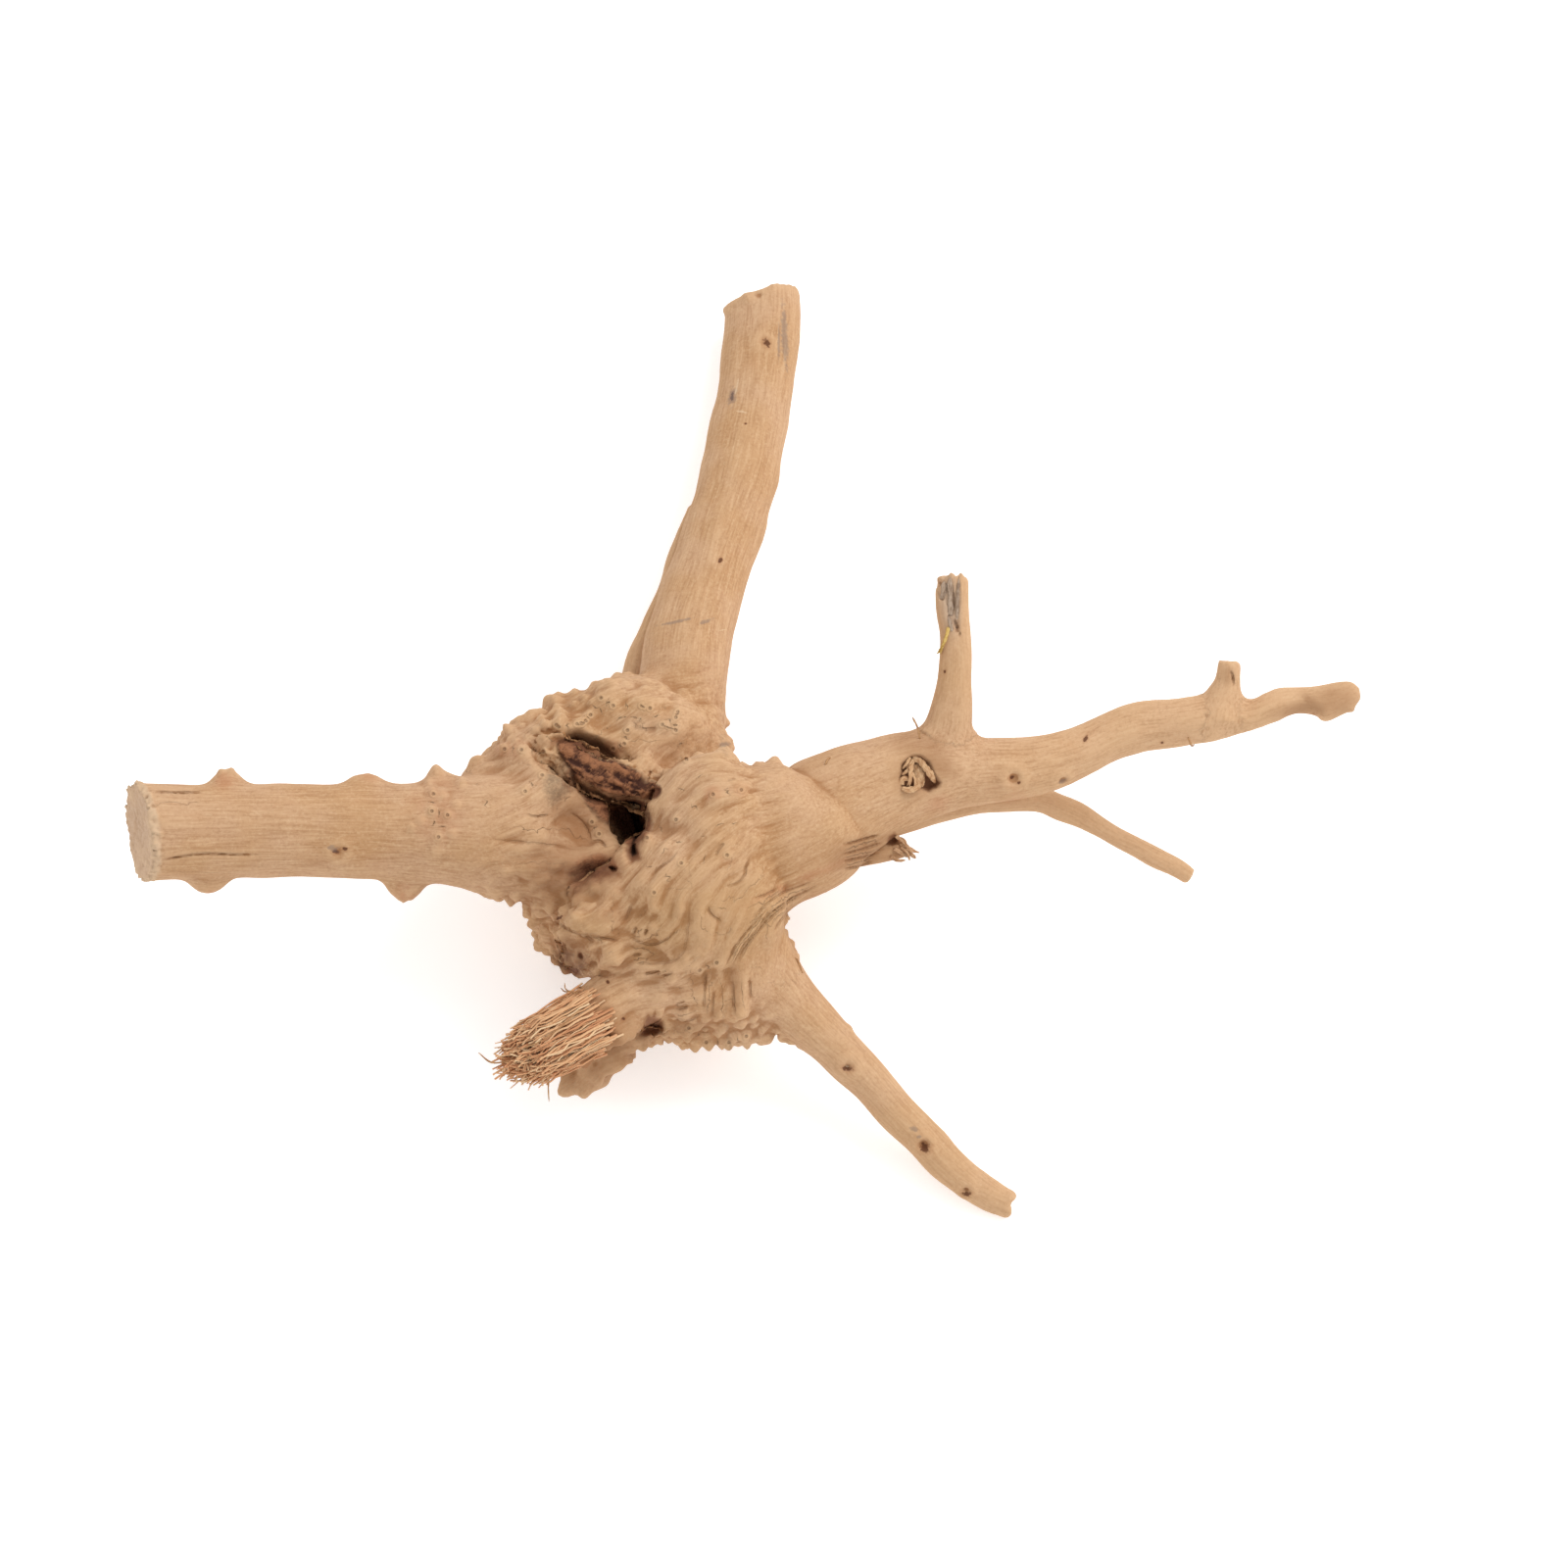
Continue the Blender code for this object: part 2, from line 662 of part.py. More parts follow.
def wood_material():
    """Dry pale driftwood."""
    material = bpy.data.materials.new("driftwood")
    material.use_nodes = True
    shader = material.node_tree.nodes["Principled BSDF"]
    shader.inputs["Base Color"].default_value = (0.61, 0.36, 0.18, 1)
    shader.inputs["Roughness"].default_value = 0.8
    shader.inputs["Metallic"].default_value = 0
    return material


clear_scene()
wood = grow_body()
add_relief(wood)
thin_out(wood, TRIANGLES)
add_strands(wood, fibres() + splinters())
plane_cut(wood, SAWN_FACE, SAWN_NORMAL)
plane_cut(wood, BROKEN_TIP, BROKEN_NORMAL)
plane_cut(wood, TABLE, (0, 0, -1), 400)
stand_on_origin(wood)
wood.data.materials.append(wood_material())
wood.data.shade_smooth()
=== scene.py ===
"""Aquarium driftwood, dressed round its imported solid: a root burl with its limbs.

Shapes are worked out in millimetres in the wood's own frame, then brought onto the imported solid,
which is in metres with +X along the long limbs, +Y towards the tall limb and +Z up.
"""

import json
import math
import random

import bmesh
import bpy
import numpy as np
from mathutils import Euler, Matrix, Vector, kdtree, noise

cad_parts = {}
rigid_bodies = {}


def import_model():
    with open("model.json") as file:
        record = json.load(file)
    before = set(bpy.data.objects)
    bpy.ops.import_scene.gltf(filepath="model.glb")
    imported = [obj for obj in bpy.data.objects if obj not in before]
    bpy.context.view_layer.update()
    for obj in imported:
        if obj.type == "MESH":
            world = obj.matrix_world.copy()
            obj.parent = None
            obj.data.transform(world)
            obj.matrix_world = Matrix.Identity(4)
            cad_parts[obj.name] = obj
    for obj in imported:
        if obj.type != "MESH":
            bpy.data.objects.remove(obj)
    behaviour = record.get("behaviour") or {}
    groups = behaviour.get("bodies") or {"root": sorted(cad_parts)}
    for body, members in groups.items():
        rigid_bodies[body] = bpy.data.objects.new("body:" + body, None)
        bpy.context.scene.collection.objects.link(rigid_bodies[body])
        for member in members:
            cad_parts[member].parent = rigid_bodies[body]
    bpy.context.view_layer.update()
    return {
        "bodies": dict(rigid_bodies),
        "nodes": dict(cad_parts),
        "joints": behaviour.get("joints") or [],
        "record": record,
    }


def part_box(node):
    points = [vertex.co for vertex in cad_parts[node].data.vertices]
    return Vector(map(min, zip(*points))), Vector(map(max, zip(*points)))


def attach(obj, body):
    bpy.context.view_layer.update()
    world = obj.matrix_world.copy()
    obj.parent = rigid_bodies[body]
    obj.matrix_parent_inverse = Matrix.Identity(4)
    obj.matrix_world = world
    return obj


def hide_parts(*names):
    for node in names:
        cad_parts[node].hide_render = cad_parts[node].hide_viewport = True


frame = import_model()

MM = 0.001


# The wood. A root burl and its limbs, grown as one piece: dug up, stripped of its bark, dried
# and scrubbed. The long limb was sawn through, the tall one snapped, and rot has opened a
# hollow in the burl. Nothing is fixed to it.
ROUGH_VOXEL = 0.9 * MM
FINE_VOXEL = 0.34 * MM
WOOD_TRIANGLES = 190000
TUBE_SIDES = 32
STATION_STEP = 1.2
FIRST_SIDE = (0.3, 0.2, 0.93)

# Stations are (x, y, z, radius) in millimetres along the pith of each limb.
SAWN_LIMB = [
    (-16, -25.7, 27, 12.5), (-26, -25.9, 28, 10.8), (-33, -26.5, 28.5, 9.7),
    (-41.5, -26.9, 30, 8.5), (-50.5, -27.1, 31, 7.3), (-62, -27.5, 32.5, 7), (-74, -28.1, 34, 6.9),
    (-82.5, -28.8, 35.5, 6.9), (-91, -29.4, 37, 7.1), (-98, -29.8, 38, 7.1),
]
TALL_LIMB = [
    (-10.2, -15.5, 20, 8.2), (-10.6, -4.9, 19.8, 7.2), (-10, 1.9, 19.5, 6.9), (-9.3, 9, 18.5, 6.6),
    (-7.6, 16.5, 17, 6.3), (-5.6, 24.9, 15.2, 6.1), (-2.4, 37.3, 12.4, 6.2), (0, 50.7, 9.6, 6.1),
    (1.4, 61.6, 7.4, 6.1), (2.3, 71.8, 6, 6), (2.2, 80.4, 5.2, 5.8),
]
STRAND = [
    (-19.5, -6.2, 14, 3.4), (-18.2, -0.5, 13.2, 2.7), (-17.4, 5.3, 13, 2.4),
    (-16.4, 10.2, 12.8, 2.3), (-14.7, 14.3, 12.3, 2.3), (-12.4, 20.2, 11.8, 2.3),
    (-10.3, 27.5, 11.3, 2.3), (-7.5, 36.4, 10.6, 2),
]
LONG_LIMB = [
    (-4, -28.6, 27, 11.6), (5.8, -26.1, 27, 9.4), (13.3, -22.2, 28, 8.8), (20.7, -18.8, 28.4, 7.5),
    (28.3, -16.4, 28.3, 6.6), (35.8, -15.7, 28, 5.1), (43.3, -15.1, 27.5, 4.6),
    (50.8, -12.7, 27.5, 3.9), (55.4, -10.4, 28, 3.6), (60, -9, 28.5, 3.8), (66, -8.4, 29, 3.6),
    (72, -7.6, 29.5, 3.4), (77.2, -7.5, 30, 2.4), (81, -6, 30.5, 2.5), (85, -5.3, 31, 2),
    (88.4, -5.9, 31.5, 2.6), (91.2, -5.2, 32, 2.2), (93.4, -4.2, 32, 1.6),
]
UPRIGHT_STUB = [
    (28.2, -15.3, 28, 6.2), (30.6, -11.3, 31, 4.1), (31.6, -6.8, 34.6, 2.9),
    (31.95, -2.6, 37.5, 2.4), (31.85, 1.2, 40, 2.3), (31.35, 5, 42, 2.3), (31.35, 9.3, 43.6, 2.2),
]
SMALL_STUB = [
    (72.6, -8.1, 29.6, 4), (73, -5.5, 31, 3.1), (73.6, -3.4, 32.8, 2), (73.9, -0.7, 34.5, 1.45),
]
THIN_LIMB = [
    (14, -24.7, 20, 4.4), (20.9, -20.8, 18.6, 2.7), (27, -18.4, 17.4, 2.3), (33.1, -16.5, 16, 2),
    (39.3, -15.2, 14.5, 1.8), (45.5, -14.6, 13, 1.8), (48.6, -15.4, 12, 1.7),
    (51.7, -16.3, 11, 1.6), (54.8, -17.8, 10, 1.5), (57.8, -19.3, 9, 1.4), (61, -20.6, 8, 1.3),
    (64, -22, 7.2, 1.3), (67.1, -23.3, 6.4, 1.2), (69.2, -24.6, 6, 1),
]
FRONT_ROOT = [
    (-5, -37.9, 24.5, 8.2), (1.8, -45.3, 20.6, 6), (6.9, -49.7, 16.2, 4.6), (13.1, -54.2, 12, 3.6),
    (17.7, -58.3, 9.5, 3.2), (22.4, -63, 7.5, 2.9), (26.9, -67.2, 5.6, 2.8),
    (30.4, -70.7, 4.2, 2.7), (34.2, -73.5, 2.9, 2.4), (37.6, -75.6, 2, 2.3),
    (40.6, -76.9, 1.5, 1.7),
]
FRAYED_ROOT = [
    (-12, -45.3, 24, 7.4), (-16.5, -50, 25.6, 6.1), (-20, -53.4, 27, 4.9),
    (-23.1, -56.4, 28.6, 4.1), (-25.6, -58.8, 29.6, 3.3), (-27.6, -60.7, 30.3, 2.2),
]
LOW_ROOT = [
    (-9, -45.7, 18, 6.6), (-16.6, -50.2, 14, 4.6), (-21.2, -52.8, 11, 3.9),
    (-24.4, -56.1, 8.5, 3.6), (-27.8, -57.9, 6.5, 2.7),
]
TORN_TWIG = [
    (12, -27.2, 22, 3), (17, -26.8, 22.4, 2.4), (21.5, -26.4, 22.6, 2), (24.2, -26.4, 22.4, 1.2),
]
# Rotten wood left standing across the hollow.
ROT_RIDGE = [
    (-30.3, -13.6, 33.3, 1.9), (-27, -16.2, 33.8, 2.4), (-23.6, -18.4, 33.5, 2.9),
    (-20, -19.7, 33, 3.1), (-16.6, -20.7, 32.6, 3), (-13, -22.2, 32.4, 2.4),
]
# The thick limbs take the hollow with the burl; the slender ones are added after it.
THICK_LIMBS = [SAWN_LIMB, TALL_LIMB, LONG_LIMB]
SLENDER_LIMBS = [
    STRAND, UPRIGHT_STUB, SMALL_STUB, THIN_LIMB, FRONT_ROOT, FRAYED_ROOT, LOW_ROOT, TORN_TWIG,
    ROT_RIDGE,
]

# Lumps are (centre, radii) or (centre, radii, turn), in millimetres and degrees.
BURL_LUMPS = [
    ((-19, -25.6, 20), (16.8, 16, 17)), ((-26.8, -17.6, 23.5), (13.3, 11.3, 14), (0, 0, -28)),
    ((-17.5, -10.5, 23), (12, 11, 12)), ((-21.4, -31.4, 16), (11.4, 10.6, 14)),
    ((-7, -44.2, 19), (14.3, 11, 14)), ((-24.3, -31, 6.5), (8.8, 9, 8.5)),
    ((-39, -17.4, 26), (5.5, 4.2, 5), (0, 0, 30)), ((-26.2, -6.6, 23), (7.5, 5.2, 6), (0, 0, 20)),
    ((-0.8, -48.8, 16), (8.4, 5.6, 6), (0, 0, -12)), ((-38.5, -30.5, 25), (7, 4.2, 6), (0, 0, -20)),
]
HOLLOW_LUMPS = [
    ((-22.5, -29, 47), (12.5, 10, 14), (0, 0, -20)),
    ((-22.8, -18, 38), (11.5, 5.2, 9), (0, 0, -24)),
    ((-16.6, -25.2, 30), (4.4, 5.4, 8), (-15, 0, 0)), ((-16.5, -29.5, 31), (2.8, 5, 7)),
    ((-21.8, -35, 36), (5.4, 3, 5.2), (0, 0, 12)),
]
FRONT_LOBE = [
    ((-4.4, -27.8, 31.5), (10.8, 11.9, 13.5), (0, 0, 10)), ((-8, -38.1, 30), (13.5, 12.3, 14.5)),
    ((-16.5, -41.2, 28), (10.5, 9.5, 12), (0, 0, 25)), ((-3.2, -36.4, 27), (8.4, 11, 12)),
    ((5.4, -26.8, 28.5), (13, 9.4, 11)), ((2, -26.6, 30.2), (12.5, 9.8, 12)),
]
# Side buds on the sawn limb.
BUDS = [
    ((-78, -22, 36.5), (2.6, 2.6, 2.6)), ((-57.4, -21.6, 34.2), (3.6, 2.6, 2.4)),
    ((-46.2, -20.6, 33), (2.8, 2.6, 2.4)), ((-81, -34.7, 31.8), (3.2, 2.5, 2.4)),
    ((-51.6, -33.5, 27.6), (3.4, 3.1, 2.6)),
]
# Ends: a point on each plane, in millimetres, and the direction that is cut away.
SAWN_FACE = (-90.7, -29.6, 37.2)
SAWN_NORMAL = (-0.910, -0.250, 0.310)
BROKEN_TIP = (1, 76, 5.6)
BROKEN_NORMAL = (-0.30, 0.95, 0.05)
# Rounds of smoothing: each round shrinks the skin by the first step and swells it by the second.
SETTLE_STEPS = (0.5, -0.53)
BODY_ROUNDS = 20
HOLLOW_ROUNDS = 10
LOBE_ROUNDS = 100
SKIN_ROUNDS = 36


def add_object(name, mesh):
    """Link a mesh into the scene under its own name."""
    item = bpy.data.objects.new(name, mesh)
    bpy.context.scene.collection.objects.link(item)
    return item


def apply_modifiers(item):
    """Turn an object's modifiers into plain mesh."""
    graph = bpy.context.evaluated_depsgraph_get()
    finished = bpy.data.meshes.new_from_object(item.evaluated_get(graph))
    item.modifiers.clear()
    old = item.data
    item.data = finished
    bpy.data.meshes.remove(old)


def through(stations, step):
    """Points on a smooth curve through the stations, about one step apart."""
    knots = np.array(stations, dtype=float)
    ends = np.vstack([2 * knots[0] - knots[1], knots, 2 * knots[-1] - knots[-2]])
    points = []
    for i in range(len(knots) - 1):
        before, start, stop, after = ends[i:i + 4]
        count = max(2, round(np.linalg.norm((stop - start)[:3]) / step))
        for t in np.arange(count) / count:
            points.append(0.5 * (
                2 * start
                + (stop - before) * t
                + (2 * before - 5 * start + 4 * stop - after) * t**2
                + (3 * start - before - 3 * stop + after) * t**3
            ))
    points.append(knots[-1])
    return np.array(points)


def frames_along(rings):
    """Tangent, side and cross directions at each point of a curve, carried along without twist."""
    last = len(rings) - 1
    side = Vector(FIRST_SIDE)
    frames = []
    for i in range(len(rings)):
        ahead = Vector(rings[min(i + 1, last)][:3] - rings[max(i - 1, 0)][:3]).normalized()
        side = (side - side.dot(ahead) * ahead).normalized()
        frames.append((ahead, side, ahead.cross(side)))
    return frames


def limb_mesh(stations):
    """A closed tube of round sections along the stations."""
    rings = through(stations, STATION_STEP)
    mesh = bmesh.new()
    previous = None
    for (x, y, z, radius), (_, side, across) in zip(rings, frames_along(rings)):
        centre = Vector((x, y, z))
        ring = []
        for k in range(TUBE_SIDES):
            angle = 2 * math.pi * k / TUBE_SIDES
            spoke = side * math.cos(angle) + across * math.sin(angle)
            ring.append(mesh.verts.new((centre + spoke * radius) * MM))
        if previous:
            for k in range(TUBE_SIDES):
                after = (k + 1) % TUBE_SIDES
                mesh.faces.new((previous[k], ring[k], ring[after], previous[after]))
        else:
            mesh.faces.new(ring)
        previous = ring
    mesh.faces.new(list(reversed(previous)))
    bmesh.ops.recalc_face_normals(mesh, faces=mesh.faces)
    return mesh


def lump_mesh(centre, radii, turn=(0, 0, 0)):
    """An ellipsoid, turned by three angles in degrees."""
    mesh = bmesh.new()
    bmesh.ops.create_icosphere(mesh, subdivisions=5, radius=1.0)
    rotation = Euler([math.radians(a) for a in turn]).to_matrix()
    for vert in mesh.verts:
        stretched = Vector([c * r for c, r in zip(vert.co, radii)])
        vert.co = (rotation @ stretched + Vector(centre)) * MM
    return mesh


def gather(name, meshes):
    """Join several closed bmeshes in one object, still as loose shells."""
    joined = bmesh.new()
    for piece in meshes:
        part = bpy.data.meshes.new("shell")
        piece.to_mesh(part)
        piece.free()
        joined.from_mesh(part)
        bpy.data.meshes.remove(part)
    mesh = bpy.data.meshes.new(name)
    joined.to_mesh(mesh)
    joined.free()
    return add_object(name, mesh)


def remesh(item, voxel):
    """Fuse the shells of an object into one skin of even quads."""
    skin = item.modifiers.new("Fuse", "REMESH")
    skin.mode = "VOXEL"
    skin.voxel_size = voxel
    skin.adaptivity = 0
    apply_modifiers(item)


def cut_away(item, cutter):
    """Subtract a closed cutter, then remove it."""
    cut = item.modifiers.new("Cut", "BOOLEAN")
    cut.operation = "DIFFERENCE"
    cut.solver = "EXACT"
    cut.object = cutter
    apply_modifiers(item)
    bpy.data.objects.remove(cutter, do_unlink=True)


def plane_cut(item, point, normal, size=40):
    """Cut away all that lies beyond a plane."""
    block = bmesh.new()
    bmesh.ops.create_cube(block, size=size * MM)
    turn = Vector(normal).to_track_quat("Z", "Y").to_matrix()
    for vert in block.verts:
        vert.co = turn @ (vert.co + Vector((0, 0, size / 2)) * MM) + Vector(point) * MM
    cut_away(item, gather("saw", [block]))


def read_points(mesh):
    """The vertices of a mesh as an array."""
    points = np.empty(len(mesh.vertices) * 3)
    mesh.vertices.foreach_get("co", points)
    return points.reshape(-1, 3)


def write_points(mesh, points):
    """Move the vertices of a mesh to an array of places."""
    mesh.vertices.foreach_set("co", points.ravel())
    mesh.update()


def read_normals(mesh):
    """The vertex normals of a mesh as an array."""
    normals = np.empty(len(mesh.vertices) * 3)
    mesh.vertices.foreach_get("normal", normals)
    return normals.reshape(-1, 3)


def read_edges(mesh):
    """The two vertices of each edge, as two arrays."""
    ends = np.empty(len(mesh.edges) * 2, dtype=int)
    mesh.edges.foreach_get("vertices", ends)
    return ends.reshape(-1, 2).T


def neighbour_mean(values, first, second, counts):
    """The mean of each vertex's neighbours, column by column."""
    total = np.empty_like(values)
    for axis in range(values.shape[1]):
        total[:, axis] = (
            np.bincount(first, values[second, axis], len(values))
            + np.bincount(second, values[first, axis], len(values))
        )
    return total / counts[:, None]


def neighbour_counts(first, second, total):
    """How many neighbours each vertex has."""
    return np.bincount(np.concatenate([first, second]), minlength=total)


def settle(item, rounds):
    """Soften the joins between limbs: each round shrinks the skin, then swells it back."""
    points = read_points(item.data)
    first, second = read_edges(item.data)
    counts = neighbour_counts(first, second, len(points))
    for _ in range(rounds):
        for strength in SETTLE_STEPS:
            points += strength * (neighbour_mean(points, first, second, counts) - points)
    write_points(item.data, points)


def ease(low, high, values):
    """A smooth rise from 0 at low to 1 at high."""
    t = np.clip((values - low) / (high - low), 0, 1)
    return t * t * (3 - 2 * t)


# Where limbs leave the wood in a wide sweep: (place, reach) in millimetres.
JOINS = [
    ((30, -14.5, 33), 11), ((73, -6, 31), 6), ((16, -23, 20), 8), ((3.5, -43, 23), 12),
    ((-10, -51, 25), 10), ((10, -33, 26), 9), ((-14, -47, 28), 9), ((-30, -38, 24), 10),
]
JOIN_ROUNDS = 420
JOIN_PULL = 0.5
JOIN_EDGE = (0.6, 0.95)
JOIN_INWARD = 0.05


def fill_joins(item):
    """Round out the wide joins: the skin is drawn outwards where it is hollow, hardly inwards."""
    points = read_points(item.data)
    normals = read_normals(item.data)
    first, second = read_edges(item.data)
    for place, radius in JOINS:
        reach = np.linalg.norm(points / MM - place, axis=1) / radius
        near = np.flatnonzero(reach < 1.0)
        number = np.full(len(points), -1)
        number[near] = np.arange(len(near))
        one, other = number[first], number[second]
        inside = (one >= 0) & (other >= 0)
        one, other = one[inside], other[inside]
        counts = np.maximum(neighbour_counts(one, other, len(near)), 1)
        weight = JOIN_PULL * (1 - ease(*JOIN_EDGE, reach[near]))
        local = points[near]
        for _ in range(JOIN_ROUNDS):
            pull = neighbour_mean(local, one, other, counts) - local
            outward = np.einsum("ij,ij->i", pull, normals[near]) > 0
            local += pull * (weight * np.where(outward, 1.0, JOIN_INWARD))[:, None]
        points[near] = local
    write_points(item.data, points)


def soft_shell(name, meshes, rounds):
    """Fuse lumps in one rough skin and soften the creases between them."""
    shell = gather(name, meshes)
    remesh(shell, ROUGH_VOXEL)
    settle(shell, rounds)
    return shell


def grow_body():
    """The whole wood as one skin, with its hollow and its two cut ends, before its relief."""
    thick = [limb_mesh(stations) for stations in THICK_LIMBS]
    thick += [lump_mesh(*lump) for lump in BURL_LUMPS + BUDS]
    body = soft_shell("wood", thick, BODY_ROUNDS)
    hollow = [lump_mesh(*lump) for lump in HOLLOW_LUMPS]
    cut_away(body, soft_shell("hollow", hollow, HOLLOW_ROUNDS))
    remesh(body, ROUGH_VOXEL)
    settle(body, BODY_ROUNDS)
    plane_cut(body, SAWN_FACE, SAWN_NORMAL)
    plane_cut(body, BROKEN_TIP, BROKEN_NORMAL)
    lobe = soft_shell("lobe", [lump_mesh(*lump) for lump in FRONT_LOBE], LOBE_ROUNDS)
    slender = gather("slender", [limb_mesh(stations) for stations in SLENDER_LIMBS])
    joined = bmesh.new()
    for shell in (body, lobe, slender):
        joined.from_mesh(shell.data)
    joined.to_mesh(body.data)
    joined.free()
    for shell in (lobe, slender):
        bpy.data.objects.remove(shell, do_unlink=True)
    remesh(body, FINE_VOXEL)
    settle(body, SKIN_ROUNDS)
    fill_joins(body)
    return body


# Marks are laid out on a plane that faces the side the wood is best seen from. On it the first
# number runs along +X and the second up the plane, in millimetres from the eye's aim.
FACE_TILT = math.radians(68)
AIM = np.array([5.8, -14.8, 20.0])
REACH = 750.0
UP = np.array([0, math.sin(FACE_TILT), math.cos(FACE_TILT)])
TOWARDS = np.array([0, -math.cos(FACE_TILT), math.sin(FACE_TILT)])


def layout(points):
    """Where each point falls on the layout plane, as seen from the eye."""
    offset = points - AIM
    away = REACH / (REACH - offset @ TOWARDS)
    return np.column_stack([offset[:, 0] * away, (offset @ UP) * away])


SEED_STEP = np.array([17.3, 5.1, 9.7])


def noise_places(points, size, seed):
    """Where noise with features of about the given size is read, moved on for each seed."""
    return (points / size + SEED_STEP * seed).tolist()


def field(points, size, seed):
    """Smooth noise from -1 to 1 at each point."""
    return np.array([noise.noise(p) for p in noise_places(points, size, seed)])


def crumble(points, size, seed):
    """Rough noise from about -1 to 1, with smaller features riding on larger ones."""
    return np.array([noise.fractal(p, 0.7, 2.1, 4) for p in noise_places(points, size, seed)])


# How the grain flows over the burl: (across, up, direction in degrees) on the layout plane.
GRAIN_FLOW = [
    (-56, -7.6, 0), (-46.9, -6.1, 2), (-46.9, 0, 12), (-46.2, -12.9, -4), (-40.9, 0, 18),
    (-40.9, -6.1, 0), (-42.4, -15.1, -28), (-39.4, 4.5, 42), (-36.3, 9.8, 38), (-30.3, 13.3, 30),
    (-24.2, 14.4, 10), (-24.2, 9.8, -2), (-16.7, 13.6, -8), (-16.7, 8.8, -6), (-12.1, 8.3, -40),
    (-9.8, 3.8, -62), (-30.3, 9.1, 20), (-21.2, 5.3, -6), (-15.1, 5.8, -22), (-38.6, -10.6, -6),
    (-36.3, -4.8, -8), (-31.8, -7.3, -34), (-30.3, -10.6, -8), (-34.8, -14.4, -12),
    (-38.6, -19.7, -42), (-36.3, -24.2, -55), (-30.3, -15.9, 25), (-25.7, -17.4, 35),
    (-22.7, -14.4, 42), (-19.7, -10.6, 45), (-16.7, -2.3, 42), (-12.1, 1.5, 30), (-6.1, 1.5, 5),
    (0, -0.8, 14), (9.1, 0, 18), (0, -6.1, 18), (9.1, -6.1, 20), (-15.1, -7.6, 38),
    (-9.1, -7.6, 30), (-6.1, -12.9, 62), (-12.1, -13.6, 24), (-15.1, -15.1, 26), (-20.1, -19.4, 32),
    (-24.2, -22, 40), (-13.9, -19.7, 82), (-15.3, -25, 72), (-16.7, -28, 40), (-9.8, -19.7, 100),
    (-9.1, -24.2, 88), (-9.1, -30.3, 84), (-4.5, -24.2, 62), (-5.3, -20.1, 48), (-1.2, -16.8, 30),
    (6.1, -13.6, 24), (-6.1, -31.8, 86), (-1.5, -30.3, 110), (0, -24.2, 130), (4.5, -31.8, 130),
    (7.6, -37.9, 130), (-28.8, -21.5, 10), (-23.3, -28, -8), (-16.7, -29.5, 16), (-18.2, -33.6, 22),
    (-12.9, -35.6, 10), (-24.2, -30.3, 45), (-30.3, -34.8, 42), (-15.1, -38.6, 8),
    (-7.6, -37.9, 20),
]
FLOW_LOW = np.array([-66.0, -56.0])
FLOW_CELLS = (120, 96)
FLOW_BLEND = 3.6
FLOW_ROUNDS = 1500


def flow_sheets():
    """Two sheets of numbers over the layout plane, one rising across the grain and one along it."""
    marks = np.array(GRAIN_FLOW)
    columns, rows = np.meshgrid(np.arange(FLOW_CELLS[0]), np.arange(FLOW_CELLS[1]), indexing="ij")
    places = np.stack([columns, rows], axis=-1) + FLOW_LOW
    gaps = np.linalg.norm(places[:, :, None] - marks[None, None, :, :2], axis=-1)
    weights = np.exp(-(gaps / FLOW_BLEND)**2) + 0.02 / (1 + gaps**3)
    angles = np.radians(marks[:, 2])
    along = np.stack([weights @ np.cos(angles), weights @ np.sin(angles)], axis=-1)
    along /= np.linalg.norm(along, axis=-1, keepdims=True) + 1e-9
    across = np.stack([-along[..., 1], along[..., 0]], axis=-1)
    sheets = []
    for slope in (across, along):
        spread = np.gradient(slope[..., 0], axis=0) + np.gradient(slope[..., 1], axis=1)
        sheet = places @ slope.mean(axis=(0, 1))
        for _ in range(FLOW_ROUNDS):
            padded = np.pad(sheet, 1, mode="reflect", reflect_type="odd")
            sheet = (
                padded[2:, 1:-1] + padded[:-2, 1:-1] + padded[1:-1, 2:] + padded[1:-1, :-2]
            ) / 4 - spread / 4
        sheets.append(sheet)
    return sheets


def read_sheet(sheet, flat):
    """Read a sheet at places between its cells."""
    cell = np.clip(flat - FLOW_LOW, 0, np.array(sheet.shape) - 1.001)
    low = cell.astype(int)
    part = cell - low
    i, j = low.T
    p, q = part.T
    return (
        sheet[i, j] * (1 - p) * (1 - q) + sheet[i + 1, j] * p * (1 - q)
        + sheet[i, j + 1] * (1 - p) * q + sheet[i + 1, j + 1] * p * q
    )


# The middle of the burl and how far its crusted surface reaches.
BURL_CENTRE = (-15, -26.9, 24)
BURL_REACH = (27, 31, 30)
FOOT_CENTRE = (-19, -51, 19)
FOOT_REACH = (11, 10, 17)


def burl_share(points):
    """1 on the burl, 0 out on the limbs."""
    wander = 0.06 * field(points, 9, 41) + 0.03 * field(points, 3.5, 42)
    reach = np.linalg.norm((points - BURL_CENTRE) / np.array(BURL_REACH), axis=1) + wander
    foot = np.linalg.norm((points - FOOT_CENTRE) / np.array(FOOT_REACH), axis=1) + wander
    return 1 - ease(0.82, 1.15, np.minimum(reach, foot))


def near_rows(places, corners, margin):
    """Which places lie in the box round some corners, widened by a margin."""
    low = np.min(corners, axis=0) - margin
    high = np.max(corners, axis=0) + margin
    return np.flatnonzero(np.all((places > low) & (places < high), axis=1))


